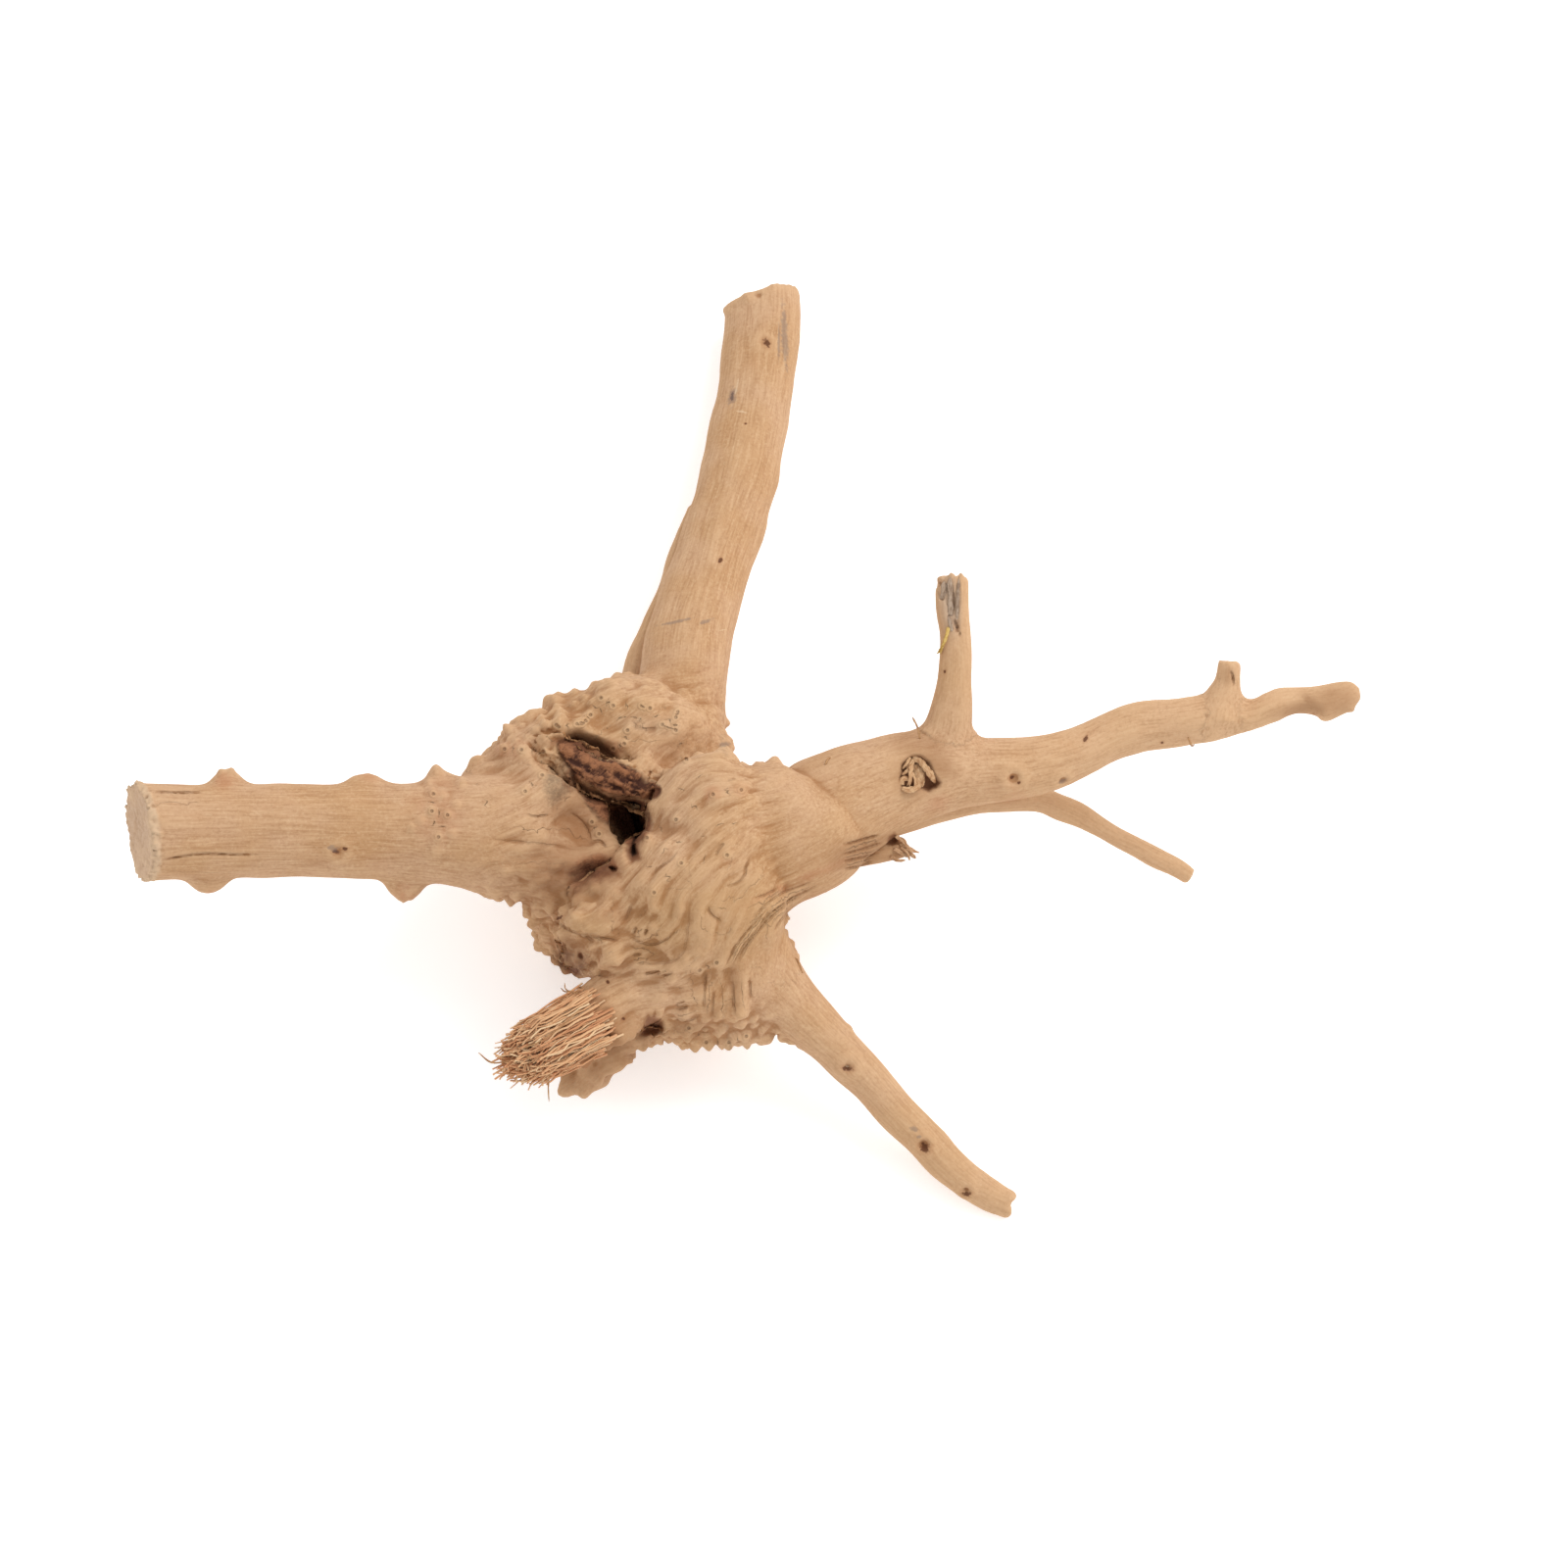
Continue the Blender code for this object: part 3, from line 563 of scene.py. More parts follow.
# Pimples are (across, up, radius, height) on the layout plane: buds that never broke through.
PIMPLES = [
    (-30.6, 9.8, 1.2, 0.5), (-34.8, 8.8, 1.2, 0.5), (-22, 12.1, 1.3, 0.45), (-16.7, 8.3, 1.4, 0.4),
    (-15.1, 3.8, 1.2, 0.4), (-24.2, 8.3, 1.3, 0.5), (-28.3, 13.3, 1.2, 0.5), (-40, -1.1, 1, 0.3),
    (-37.4, 1.4, 1.1, 0.35), (-37.2, 5, 0.9, 0.3), (-35.2, 9.1, 1.2, 0.4), (-32, 9.3, 1, 0.4),
    (-31.2, 9.3, 0.8, 0.3), (-29.9, 10.7, 1, 0.35), (-40.6, 5.3, 1.4, 0.5), (-43.2, 5.4, 1.2, 0.5),
    (-54.2, -1.5, 1.1, 0.75), (-54.4, -4.2, 1, 0.6), (-52, -4.8, 1.1, 0.7), (-53.4, -8.2, 1.2, 0.6),
    (-26.4, 12.1, 1.4, 0.5), (-20.7, 11.7, 1.1, 0.35), (-16.4, 11.2, 1.1, 0.35),
    (-16.7, 10.3, 1, 0.4), (-18.8, 9.2, 1.3, 0.45), (-24.7, 6.2, 1.3, 0.5), (-26.4, 5.4, 1.5, 0.7),
    (-11, -1.6, 1.5, 0.45), (-6.6, -0.9, 1.3, 0.4), (-16.7, -5.5, 1.2, 0.4),
    (-28.6, -7.7, 1.3, 0.55), (-29.7, -5.9, 1, 0.45), (-21.2, -8.3, 1.2, 0.5),
    (-20.1, -16.8, 1.1, 0.35), (-15.9, -12.2, 1.1, 0.4), (-8.8, -11, 1.3, 0.5),
    (-13, -28.8, 1.2, 0.5), (-10.4, -27.6, 1.1, 0.45), (-14.7, -37.7, 1.4, 0.6),
    (-12, -39.9, 1.5, 0.7), (-8.5, -39.9, 1.4, 0.7), (-5.8, -39, 1.3, 0.6),
]
# Larger swellings of the lobe and the shoulder, laid out the same way.
SWELLINGS = [
    (-56, -5.8, 0.9, 0.6), (-57.4, -6.8, 0.8, 0.5), (-52.7, -1.8, 1, 0.6), (-50.6, -3.3, 1, 0.5),
    (-51.2, -7.6, 1, 0.5), (-54.8, 0, 0.9, 0.5), (-49.7, 0, 1, 0.5), (-53.7, -10.3, 1.1, 0.4),
    (-30.6, -21.4, 3, 1.49), (-27.8, -21.6, 2.6, 1.22), (-22.5, -22.8, 2.6, 1.08),
    (-20, -22.6, 2.2, 0.81), (-26.8, -26, 2.5, 1.22), (-21.8, -28, 2.3, 1.08),
    (-17.6, -28.6, 2.4, 1.08), (-19.4, -31.6, 2.2, 1.08), (-15.2, -34.4, 2.4, 1.22),
    (-11.6, -33.4, 2.3, 0.94), (-7.2, -34, 2.2, 0.94), (-13.8, -13, 3, 0.68), (-9.8, -9.4, 3, 0.81),
    (-10.2, -1.8, 3.2, 0.81), (-4, -12.2, 3, 0.54), (-12.4, 9.4, 3.5, 0.81), (-8.9, 5.6, 2.6, 1.08),
    (-33.6, -2.4, 3, 0.68), (-29.6, -11.6, 2.4, 0.81), (-26, -11.2, 1.8, 0.81),
    (-24.6, -8.6, 2, 0.68), (-35.8, -17.5, 2.4, 0.94),
]
# Bumps that break the outline of the burl and the rim of the lobe.
RIM_BUMPS = [
    (-34.1, -47.2, 1.5, 1.6), (-31.2, -46.6, 1.2, 1.3), (-28.8, -45.1, 1.2, 1.3),
    (-30.3, -42.8, 1.5, 0.6), (-32.4, -45, 1, -0.5), (-28.5, -42.7, 1.2, 0.6),
    (-36.3, -46.3, 1.2, 0.6), (-20.9, -41.5, 0.9, 0.8), (-19.4, -40.7, 0.8, 0.5),
    (-18, -40.4, 0.8, 0.5), (-13.3, -40.3, 1, 0.6), (-9.7, -39.7, 0.9, 0.6), (-8, -40.3, 0.9, 0.7),
    (-5.5, -39.4, 0.9, 0.6), (-3.6, -38.6, 0.8, 0.4), (-0.5, -39.1, 1, 0.5), (-86.9, 1.8, 0.7, 0.4),
    (-85.4, 2, 0.7, 0.5), (-89.9, -17.7, 0.6, 0.6), (-88.9, -17.6, 0.5, 0.5),
    (-90.8, -17.3, 0.5, 0.4), (-59.3, -17.4, 0.7, 0.5), (-57.8, -17.3, 0.7, 0.5),
    (-58.7, -17.9, 0.5, 0.5), (-64.2, 2.1, 0.7, 0.4), (-53.6, 1.7, 0.8, 0.5),
    (34.8, -63.6, 1, 0.35), (34.5, -66.2, 0.9, 0.3), (35.6, -65, 0.6, -0.6), (-5.6, 75.2, 1, 0.6),
    (-8.8, 73.1, 0.8, 0.4), (-1.5, 77.2, 1.4, 0.4), (-3.9, 75.7, 0.6, -0.4), (25.9, 32.1, 0.5, 0.6),
    (27.3, 32.2, 0.45, 0.9), (23.8, 31, 0.7, -0.8), (24.5, 31.5, 0.4, 0.4), (83.6, 10.7, 1.5, 0.5),
    (87.7, 11.5, 0.7, 0.5), (89, 14.8, 0.7, 0.4), (81.8, 10.4, 1, -0.5), (67.4, 18.8, 0.3, 0.25),
    (69.6, 18.6, 0.3, 0.2), (65.4, 9.4, 0.8, 0.3), (10.6, -37.2, 1, 0.4), (26.5, -52.7, 2, 0.6),
    (31.8, -59, 1.2, 0.3), (-45.2, 6.1, 1.1, 0.8), (-46, 5.1, 0.9, 0.6), (-42.1, 7.9, 1.2, 0.8),
    (-41.3, 9.4, 1, 0.7), (-39.4, 10.4, 1.1, 0.6), (-35.3, 13, 1.2, 0.6), (-32.4, 15.1, 1.2, 0.6),
    (-30, 15.4, 1.2, 0.6), (-53.8, 1.8, 1.6, 0.8), (-20.5, -3.5, 0.9, 0.5), (-21.6, -4.4, 0.8, 0.4),
    (-21.3, -8.3, 0.9, 0.6), (-22.7, -10, 0.8, 0.5), (-29.2, -15.7, 0.9, 0.5),
    (-27.7, -15.2, 0.8, 0.4), (-30.9, -16.5, 0.9, 0.5),
]

# Creases are (width, depth, line) on the layout plane, in millimetres. Relief is worked out for
# the points within one margin of a crease, and the dark line of painted shade along it for those
# within the other.
CREASE_STEP = 0.3
CREASE_MARGIN = 3
LINE_MARGIN = 2
FULL_CREASE = 0.45
FAR_OFF = 9.0
CREASES = [
    (0.3, 0.5, [(9.2, -9.4), (12.1, -8.6), (14.8, -8)]),
    (0.3, 0.5, [(9.2, -10.9), (12.1, -10.1), (15.1, -9.2)]),
    (0.3, 0.5, [(9.2, -12.1), (11.5, -11.5), (14.4, -10.6)]),
    (0.3, 0.5, [(9.4, -13.3), (11.5, -12.7), (13.6, -12)]),
    (0.22, 0.3, [(-23.8, 9.7), (-22.5, 9.6)]),
    (0.9, 0.35, [(-23.8, 9.1), (-21.7, 8.5), (-19.4, 8.6)]),
    (0.35, 0.25, [(-8.9, 0.5), (-7.4, 0.9)]),
    (0.35, 0.5, [(-23.3, -23.2), (-22.9, -22)]),
    (0.35, 0.5, [(-21.6, -23.5), (-21.2, -22.3)]),
    (0.35, 0.45, [(-23.4, -26.5), (-22.1, -26.3)]),
    (0.35, 0.45, [(-22.7, -27.9), (-21.2, -27.4)]),
    (0.35, 0.45, [(-21.5, -29.4), (-19.1, -28.8)]),
    (0.35, 0.45, [(-18.8, -29.7), (-17.2, -29.1)]),
    (0.35, 0.45, [(-16.6, -33.9), (-15.3, -33.5)]),
    (0.35, 0.45, [(-16.6, -34.8), (-14.7, -34.5)]),
    (0.8, 0.6, [(-17.2, -36.2), (-14.7, -36.5), (-12.9, -35.6)]),
    (0.6, 0.3, [(-23.4, -18.3), (-24.6, -21.3)]),
    (0.35, 0.35, [(-31.1, -23.3), (-28.9, -23.3)]),
    (0.7, 0.5, [(-30.3, -9.4), (-28.5, -8.8), (-27.3, -10)]),
    (0.5, 0.35, [(-32.9, -4.4), (-30.7, -6.4), (-29.8, -8.8)]),
    (0.7, 0.55, [(-35.6, -21), (-33, -22.6), (-29, -24.4)]),
    (0.22, 0.45, [(-97.2, -1.2), (-94.5, -1.25), (-90.1, -1.3)]),
    (0.22, 0.45, [(-96.2, -11.7), (-90.1, -10.8), (-85, -10.9), (-81, -10.9)]),
    (0.2, 0.9, [(25.9, 30.9), (26.1, 29.7), (26.2, 28.2), (26.3, 26.2)]),
    (0.2, 0.6, [(25.5, 30.3), (25.5, 29.4)]),
    (0.2, 0.6, [(24.4, 28.3), (24.8, 29.1)]),
    (0.22, 0.8, [(26.3, 25.4), (26.6, 24.7), (27, 23.8)]),
    (0.2, 0.6, [(27.1, 23.5), (27.2, 22.9)]),
    (0.22, 0.8, [(69, 17.6), (69.3, 16.7), (69.5, 15.3)]),
    (1.1, 0.25, [(-14.7, -18.9), (-14.8, -22), (-15.1, -24.2), (-15.6, -26), (-17, -27.3),
        (-19.7, -27.7), (-22.7, -27.9)]),
    (0.5, 0.25, [(-45.4, -8.6), (-39.4, -9.1), (-34.1, -9.7), (-31.8, -10.3)]),
    (0.3, 0.45, [(-39.8, -4.7), (-38.2, -5), (-36.3, -4.8)]),
    (0.4, 0.35, [(-20.6, -14.2), (-19.4, -13), (-17.9, -12), (-16.4, -10.3)]),
    (0.4, 0.35, [(-10.6, -11.2), (-10, -10), (-9.2, -9.1)]),
    (0.4, 0.3, [(-9.1, -15.9), (-7.3, -15.3), (-6.2, -14.2), (-5.8, -12.7), (-5.3, -11.4)]),
    (0.4, 0.35, [(-4.5, -17.7), (-2.7, -17), (-0.8, -16)]),
    (0.25, 0.5, [(-8.3, -28.8), (-6.4, -25.4), (-4.2, -22.4), (-1.5, -19.7), (1.8, -17.4),
        (5.8, -15.4)]),
    (0.22, 0.4, [(-7.6, -28.5), (-5.5, -24.8), (-3.3, -22.1), (-0.6, -19.5), (2.4, -17.3)]),
    (0.22, 0.4, [(-9.1, -28), (-7.3, -24.8), (-5.1, -22), (-2.4, -19.1)]),
    (0.2, 0.35, [(-5.1, -20.9), (-3, -18.8), (0, -16.7), (4.5, -15)]),
    (0.35, 0.45, [(-1.5, -22.7), (-0.3, -20.9), (1.8, -18.8)]),
    (0.6, 0.45, [(-24.2, -23.5), (-22, -24.5), (-20, -24.7), (-17.9, -23.8), (-16.7, -22.3)]),
    (0.5, 0.45, [(-30.3, -23), (-28, -23.8), (-25.7, -24.2)]),
    (0.7, 0.4, [(-11.8, -19.1), (-11.1, -20.3), (-9.8, -21.2)]),
    (0.7, 0.45, [(-5.3, -30.3), (-5.1, -33.3)]),
    (1, 0.5, [(-8, -30.3), (-7.6, -35.7)]),
    (0.8, 0.4, [(-10.9, -31.8), (-11.1, -35.7)]),
    (0.6, 0.4, [(-12.1, -28.8), (-12.4, -34.8)]),
]

# Knots are (place, radius, depth of the eye, height of the rim), in millimetres.
KNOTS = [
    ((2.9, 65.3, 13.7), 1.1, 0.6, 0.25), ((-2.6, 54.9, 15), 0.9, 0.3, 0.1),
    ((-4.2, 22.2, 22.3), 0.8, 0.3, 0.1), ((40.7, -18.3, 31.1), 1.1, 0.5, 0.35),
    ((48.4, -18, 29), 0.9, 0.3, 0.3), ((15.5, -58.6, 13.4), 1, 0.6, 0.4),
    ((27.1, -69.3, 7.8), 1, 0.6, 0.4), ((33.6, -75.4, 4.4), 0.8, 0.5, 0.3),
    ((-60.9, -32.5, 37), 1, 0.15, 0.3),
]

# Pockets below the skin: (depth, how far inside the edge it starts and ends, outline).
POCKET_MARGIN = 3
POCKETS = [
    (1.8, (-0.9, 1.5), [(-36.6, 6.7), (-34.2, 7.6), (-31.6, 7.7), (-28.8, 7), (-26.9, 5.8),
        (-26, 3.9), (-28.5, 3.6), (-31, 4.4), (-34.1, 6.1), (-36, 5.5)]),
    (2.4, (-0.7, 0.9), [(-32.7, 1.2), (-30.3, -0.5), (-27.3, -1.8), (-24.2, -2), (-21.2, -2.9),
        (-22.4, -3.6), (-24.8, -3.9), (-27.6, -3.3), (-30.3, -2.4), (-32.1, -0.9)]),
    (3.2, (-0.9, 1.3), [(-26, -3.3), (-23.5, -2.7), (-21.3, -3.3), (-21.8, -5.3), (-21.3, -7.3),
        (-22.4, -9.4), (-22.4, -11.5), (-23.5, -12.1), (-24.2, -10.9), (-24.2, -8.8), (-24.8, -6.8),
        (-26.3, -5.3), (-27.9, -3.9)]),
    (6.5, (-0.5, 1.3), [(-25.4, -2.3), (-23, -2.3), (-21.5, -3), (-22.1, -4.8), (-21.3, -7),
        (-21.7, -7.9), (-22.7, -9.2), (-22.4, -10.9), (-23.5, -11.8), (-24.1, -10.7), (-23.8, -8.8),
        (-23.5, -6.8), (-24.1, -5.1), (-25.1, -3.9)]),
    (1.5, (-0.8, 1.8), [(-33.8, -15.6), (-33, -13.3), (-31, -12.1), (-28.5, -12.1), (-26, -12.4),
        (-24.7, -13.5), (-25.1, -14.7), (-27.3, -15.3), (-29.1, -15.7), (-30.6, -16.5),
        (-31.9, -17.9), (-33.3, -17.7)]),
    (3.2, (-0.2, 0.5), [(-27.4, -12.9), (-26.5, -12.6), (-25.7, -12.9), (-25.7, -13.6),
        (-26.6, -13.6)]),
    (2.6, (-0.25, 1.6), [(-22, -36.3), (-21.2, -35.1), (-20.6, -35.4), (-19.8, -34.4),
        (-19.4, -35.7), (-18.2, -36.2), (-18.2, -38.2), (-19.4, -39.1), (-21.5, -39.4),
        (-22.7, -39.1), (-22.4, -37.5)]),
    (1, (-0.8, 1.5), [(-36.3, -23.9), (-33.6, -22.9), (-30.9, -24.5), (-30.1, -28), (-31.6, -30.6),
        (-34.1, -29.1), (-35.6, -26.6)]),
    (2.2, (-0.2, 0.7), [(-32.1, -25.7), (-31.2, -25.7), (-30.6, -26.9), (-31.2, -27.4),
        (-32.1, -26.9)]),
    (2.6, (-0.5, 0.8), [(18, 1.1), (18.3, 3), (19.5, 4.2), (21.2, 4.2), (22.3, 3.2), (23, 1.8),
        (23.9, 0.2), (23.5, -0.6), (22.3, -1.1), (21, -0.5), (19.7, -0.6), (18.3, -0.5)]),
    (1.7, (-0.25, 0.7), [(15.6, -8.8), (16, -7.9), (17, -7.3), (17.6, -7.9), (17.7, -9.1),
        (16.8, -9.5), (15.9, -9.4)]),
    (0.35, (-0.1, 0.12), [(23.6, 29.8), (24.4, 31.5), (25.9, 32.4), (27.3, 32.6), (27.3, 30.3),
        (27.1, 26), (27.1, 23.5), (26.5, 23.3), (25.7, 25.1), (25.3, 26), (25, 28.2),
        (24.2, 28.3)]),
    (1.4, (-0.2, 0.4), [(-21, 2), (-20.4, 2.1), (-20.3, 1.4), (-20.9, 1.1)]),
    (1.2, (-0.2, 0.4), [(-21.2, 0.9), (-20.6, 1.1), (-20.7, 0.5), (-21.2, 0.5)]),
    (2, (-0.2, 0.7), [(-20.7, -0.9), (-19.8, -0.5), (-18.9, -0.6), (-18.9, -1.4), (-19.5, -2.3),
        (-20.3, -2.7), (-20.9, -2.4), (-21, -1.7)]),
]

# Thorny bumps crust the underside of the burl and its left and lower outline.
# Radii and heights are (the least, how much more the largest has), in millimetres.
CRUST_COUNT = 1100
CRUST_SPACING = 1.45
CRUST_RADIUS = (0.55, 0.95)
CRUST_HEIGHT = (0.45, 1.15)
BUD_COUNT = 220
BUD_RADIUS = (0.45, 0.65)
BUD_HEIGHT = (0.24, 0.5)
# A bump is tried so many times, out to so many burl radii, and lands if the skin is so near.
BUMP_TRIES = 40
DROP_REACH = 1.15
DROP_GAP = 2.5
# Where it is crusted, knobbly, budded and lumpy, as ellipses: (middle, radii, turn, strength).
THORNY = [
    ((-36, -22), (9.5, 11), 30, 1), ((-13, -39.3), (17, 4.2), 3, 1),
    ((-21.5, -39.3), (5, 2.6), 20, 0.7), ((-37, 11.5), (12, 4.5), 35, 0.9),
    ((-47.5, 6), (4, 3), 0, 0.8),
]
LOW_KNOBS = [((-30, -43.5), (7.5, 5), 30, 1)]
BUDDED = [
    ((-22, -24.5), (11, 8), -20, 1), ((-28, 11), (13, 6), 15, 0.6), ((-11, -36), (12, 4), 0, 0.8),
    ((-36, -17), (7, 9), 30, 0.8),
]
LUMPY = [
    ((-18.2, -27), (15, 12), -20, 1), ((-36, -18), (9, 12), 30, 0.9),
    ((-28, 11), (14, 6), 15, 0.55), ((-10, -36), (13, 6), 0, 0.9), ((-16, -14), (10, 8), 40, 0.7),
    ((-13, -1), (8, 5), 20, 0.5),
]


def plant(points):
    """A tree that finds the points near a place."""
    tree = kdtree.KDTree(len(points))
    for i, point in enumerate(points):
        tree.insert(point, i)
    tree.balance()
    return tree


def scatter(tree, points, share, count, sizes, heights):
    """Height of small bumps, each a soft peak round a point that is picked by a fixed seed."""
    draw = random.Random(5)
    height = np.zeros(len(points))
    made = []
    for _ in range(BUMP_TRIES * count):
        if len(made) == count:
            break
        drop = [c + draw.uniform(-1, 1) * DROP_REACH * r for c, r in zip(BURL_CENTRE, BURL_REACH)]
        place, i, gap = tree.find(drop)
        if gap > DROP_GAP or share[i] < draw.random():
            continue
        if made and np.min(np.sum((points[made] - points[i])**2, axis=1)) < CRUST_SPACING**2:
            continue
        made.append(i)
        bulk = draw.random()**1.2
        radius = sizes[0] + sizes[1] * bulk
        top = (heights[0] + heights[1] * bulk) * share[i]
        for _, k, distance in tree.find_range(place, 2.4 * radius):
            height[k] += top * math.exp(-1.7 * (distance / radius)**2)
    return height


def mark_relief(flat, facing, marks):
    """Height of round marks that are laid out on the layout plane."""
    height = np.zeros(len(flat))
    for across, up, radius, top in marks:
        near = np.sum((flat - (across, up))**2, axis=1) / radius**2
        height += top * np.exp(-1.6 * near)
    return height * facing


def crease_gaps(flat, margin):
    """For each crease: its width, depth and trace, the points near it and how near they are."""
    for width, deep, line in CREASES:
        trace = through([(x, y, 0.0) for x, y in line], CREASE_STEP)[:, :2]
        rows = near_rows(flat, trace, margin)
        gaps = np.linalg.norm(flat[rows][:, None] - trace[None], axis=2)
        yield width, deep, trace, rows, np.argmin(gaps, axis=1), np.min(gaps, axis=1)


def crease_relief(flat, facing):
    """Depth of the creases, which run out at their ends."""
    depth = np.zeros(len(flat))
    for width, deep, trace, rows, nearest, gap in crease_gaps(flat, CREASE_MARGIN):
        along = nearest / (len(trace) - 1)
        taper = np.minimum(1, 5 * np.minimum(along + 0.08, 1.08 - along))
        dip = deep * taper * np.exp(-(gap / width)**2 * 2.2)
        depth[rows] = np.maximum(depth[rows], dip)
    return depth * facing


def ellipse_reach(flat, middle, radii, turn):
    """How far each point lies from the middle of a turned ellipse: 1 on its edge."""
    angle = math.radians(turn)
    offset = flat - middle
    x = (offset[:, 0] * math.cos(angle) + offset[:, 1] * math.sin(angle)) / radii[0]
    y = (offset[:, 1] * math.cos(angle) - offset[:, 0] * math.sin(angle)) / radii[1]
    return np.sqrt(x * x + y * y)


def stain_share(flat, ellipses):
    """How strongly a group of stains marks each point: 1 in the middle, fading past the edge."""
    share = np.zeros(len(flat))
    for middle, radii, turn, strength in ellipses:
        reach = ellipse_reach(flat, middle, radii, turn)
        share = np.maximum(share, strength * (1 - ease(0.4, 1.5, reach)))
    return share


def inset(flat, outline):
    """How far each point lies inside a closed outline: negative outside it."""
    corners = np.array(outline)
    gap = np.full(len(flat), 1e9)
    inside = np.zeros(len(flat), dtype=bool)
    for here, after in zip(corners, np.roll(corners, -1, axis=0)):
        ahead = after - here
        part = np.clip((flat - here) @ ahead / (ahead @ ahead), 0, 1)
        gap = np.minimum(gap, np.linalg.norm(flat - here - part[:, None] * ahead, axis=1))
        rise = ahead[1] if abs(ahead[1]) > 1e-6 else 1e-6
        crossing = here[0] + (flat[:, 1] - here[1]) * ahead[0] / rise
        level = (here[1] > flat[:, 1]) != (after[1] > flat[:, 1])
        inside ^= level & (flat[:, 0] < crossing)
    return np.where(inside, gap, -gap)


def pocket_depth(points):
    """Depth of the pockets, whose edges wander a little."""
    flat = layout(points)
    wander = 0.25 * field(points, 1.6, 30)
    depth = np.zeros(len(flat))
    for deep, (first, last), outline in POCKETS:
        rows = near_rows(flat, outline, POCKET_MARGIN)
        reach = inset(flat[rows], outline) + wander[rows]
        depth[rows] = np.maximum(depth[rows], deep * ease(first, last, reach))
    return depth


# Where the frayed root turns to fibre: a way along it, and two reaches in millimetres.
FRAY_AIM = (-0.69, -0.67, 0.27)
FRAY_START = (-9.0, -4.5)
FRAY_END = (8.0, 12.0)


def frayed_share(points):
    """1 where the root turns to fibre, 0 where it is sound."""
    reach = (points - FRAYED_ROOT[-1][:3]) @ np.array(FRAY_AIM)
    near = np.linalg.norm(points - FRAYED_ROOT[-2][:3], axis=1)
    started = ease(*FRAY_START, reach + 2.0 * field(points, 2.5, 38))
    return started * (1 - ease(*FRAY_END, near))


def knot_relief(points):
    """Height of the knots: a faint swelling round a sunken eye."""
    height = np.zeros(len(points))
    for place, radius, depth, rim in KNOTS:
        reach = np.linalg.norm(points - place, axis=1) / radius
        height += rim * np.exp(-((reach - 1.5) / 0.8)**2)
        height -= depth * (1 - ease(0.3, 1.0, reach))
    return height


# A limb is sought so far past its skin, each limb's lengths start so far on from the last one's,
# and so many points are worked out at a time.
LIMB_MARGIN = 6
LIMB_APART = 40
BLOCK = 20000


def limb_places(points):
    """For each point, its length along its own limb and its two offsets across it."""
    best = np.full(len(points), 1e9)
    places = np.zeros((len(points), 3))
    for number, stations in enumerate(THICK_LIMBS + SLENDER_LIMBS[:-1]):
        rings = through(stations, STATION_STEP)
        centres = rings[:, :3]
        frames = np.array([[tuple(v) for v in frame] for frame in frames_along(rings)])
        steps = np.linalg.norm(np.diff(centres, axis=0), axis=1)
        lengths = np.concatenate([[0], np.cumsum(steps)])
        rows = near_rows(points, centres, rings[:, 3].max() + LIMB_MARGIN)
        inside = points[rows]
        nearest = np.empty(len(inside), dtype=int)
        for start in range(0, len(inside), BLOCK):
            block = inside[start:start + BLOCK]
            gaps = ((block[:, None] - centres[None])**2).sum(axis=2)
            nearest[start:start + BLOCK] = np.argmin(gaps, axis=1)
        offset = inside - centres[nearest]
        ahead, side, over = (
            np.einsum("ij,ij->i", offset, frames[nearest, way]) for way in range(3)
        )
        depth = np.sqrt(side**2 + over**2) - rings[nearest, 3] + np.maximum(np.abs(ahead) - 2, 0)
        wins = depth < best[rows]
        best[rows[wins]] = depth[wins]
        found = np.column_stack([lengths[nearest] + ahead + LIMB_APART * number, side, over])
        places[rows[wins]] = found[wins]
    return places


def ripple(places, size, stretch, seed):
    """Noise drawn out along the grain."""
    return field(places * np.array([1 / stretch, 1, 1]), size, seed)


def raise_skin(mesh, height):
    """Move each vertex along its normal by a height in millimetres."""
    write_points(mesh, (read_points(mesh) / MM + read_normals(mesh) * height[:, None]) * MM)


def flow_places(points, sheets):
    """Places along and across the grain of the burl, wandering a little."""
    flat = layout(points)
    wander = np.column_stack([field(points, 5, 51), field(points, 5, 52)])
    across, along = (read_sheet(sheet, flat + 0.7 * wander) for sheet in sheets)
    return np.column_stack([along, across, 0.5 * (points @ TOWARDS)])


WRINKLE_WIDTH = 0.13


def wrinkles(places, size, stretch, seed):
    """Thin creases that run along the grain: 1 in the crease, falling off quickly."""
    return np.exp(-(ripple(places, size, stretch, seed) / WRINKLE_WIDTH)**2)


def raise_swellings(mesh, share):
    """First pass: broad swellings and the knots of the limbs."""
    points = read_points(mesh) / MM
    facing = ease(0.0, 0.3, read_normals(mesh) @ TOWARDS)
    height = 0.15 + 0.8 * field(points, 9, 6) * (0.22 + 0.78 * share)
    height += 0.45 * field(points, 4.5, 7) * share
    height += mark_relief(layout(points), facing, SWELLINGS)
    height += knot_relief(points)
    raise_skin(mesh, height)


# How the strings of the rotten ridge lie on the layout plane.
RIDGE_TURN = math.radians(-24)


def rot_relief(points, flat):
    """Height of the rotten ridge, stringy along it and crumbly."""
    gap = np.min([
        np.linalg.norm(points - place[:3], axis=1) - place[3] for place in through(ROT_RIDGE, 1.0)
    ], axis=0)
    strands = np.column_stack([
        0.35 * (flat @ (math.cos(RIDGE_TURN), math.sin(RIDGE_TURN))),
        flat @ (-math.sin(RIDGE_TURN), math.cos(RIDGE_TURN)), points @ TOWARDS,
    ])
    rough = 0.8 * crumble(strands, 1.3, 31) + 0.35 * crumble(points, 2.2, 26)
    return rough * (1 - ease(0.5, 2.2, gap))


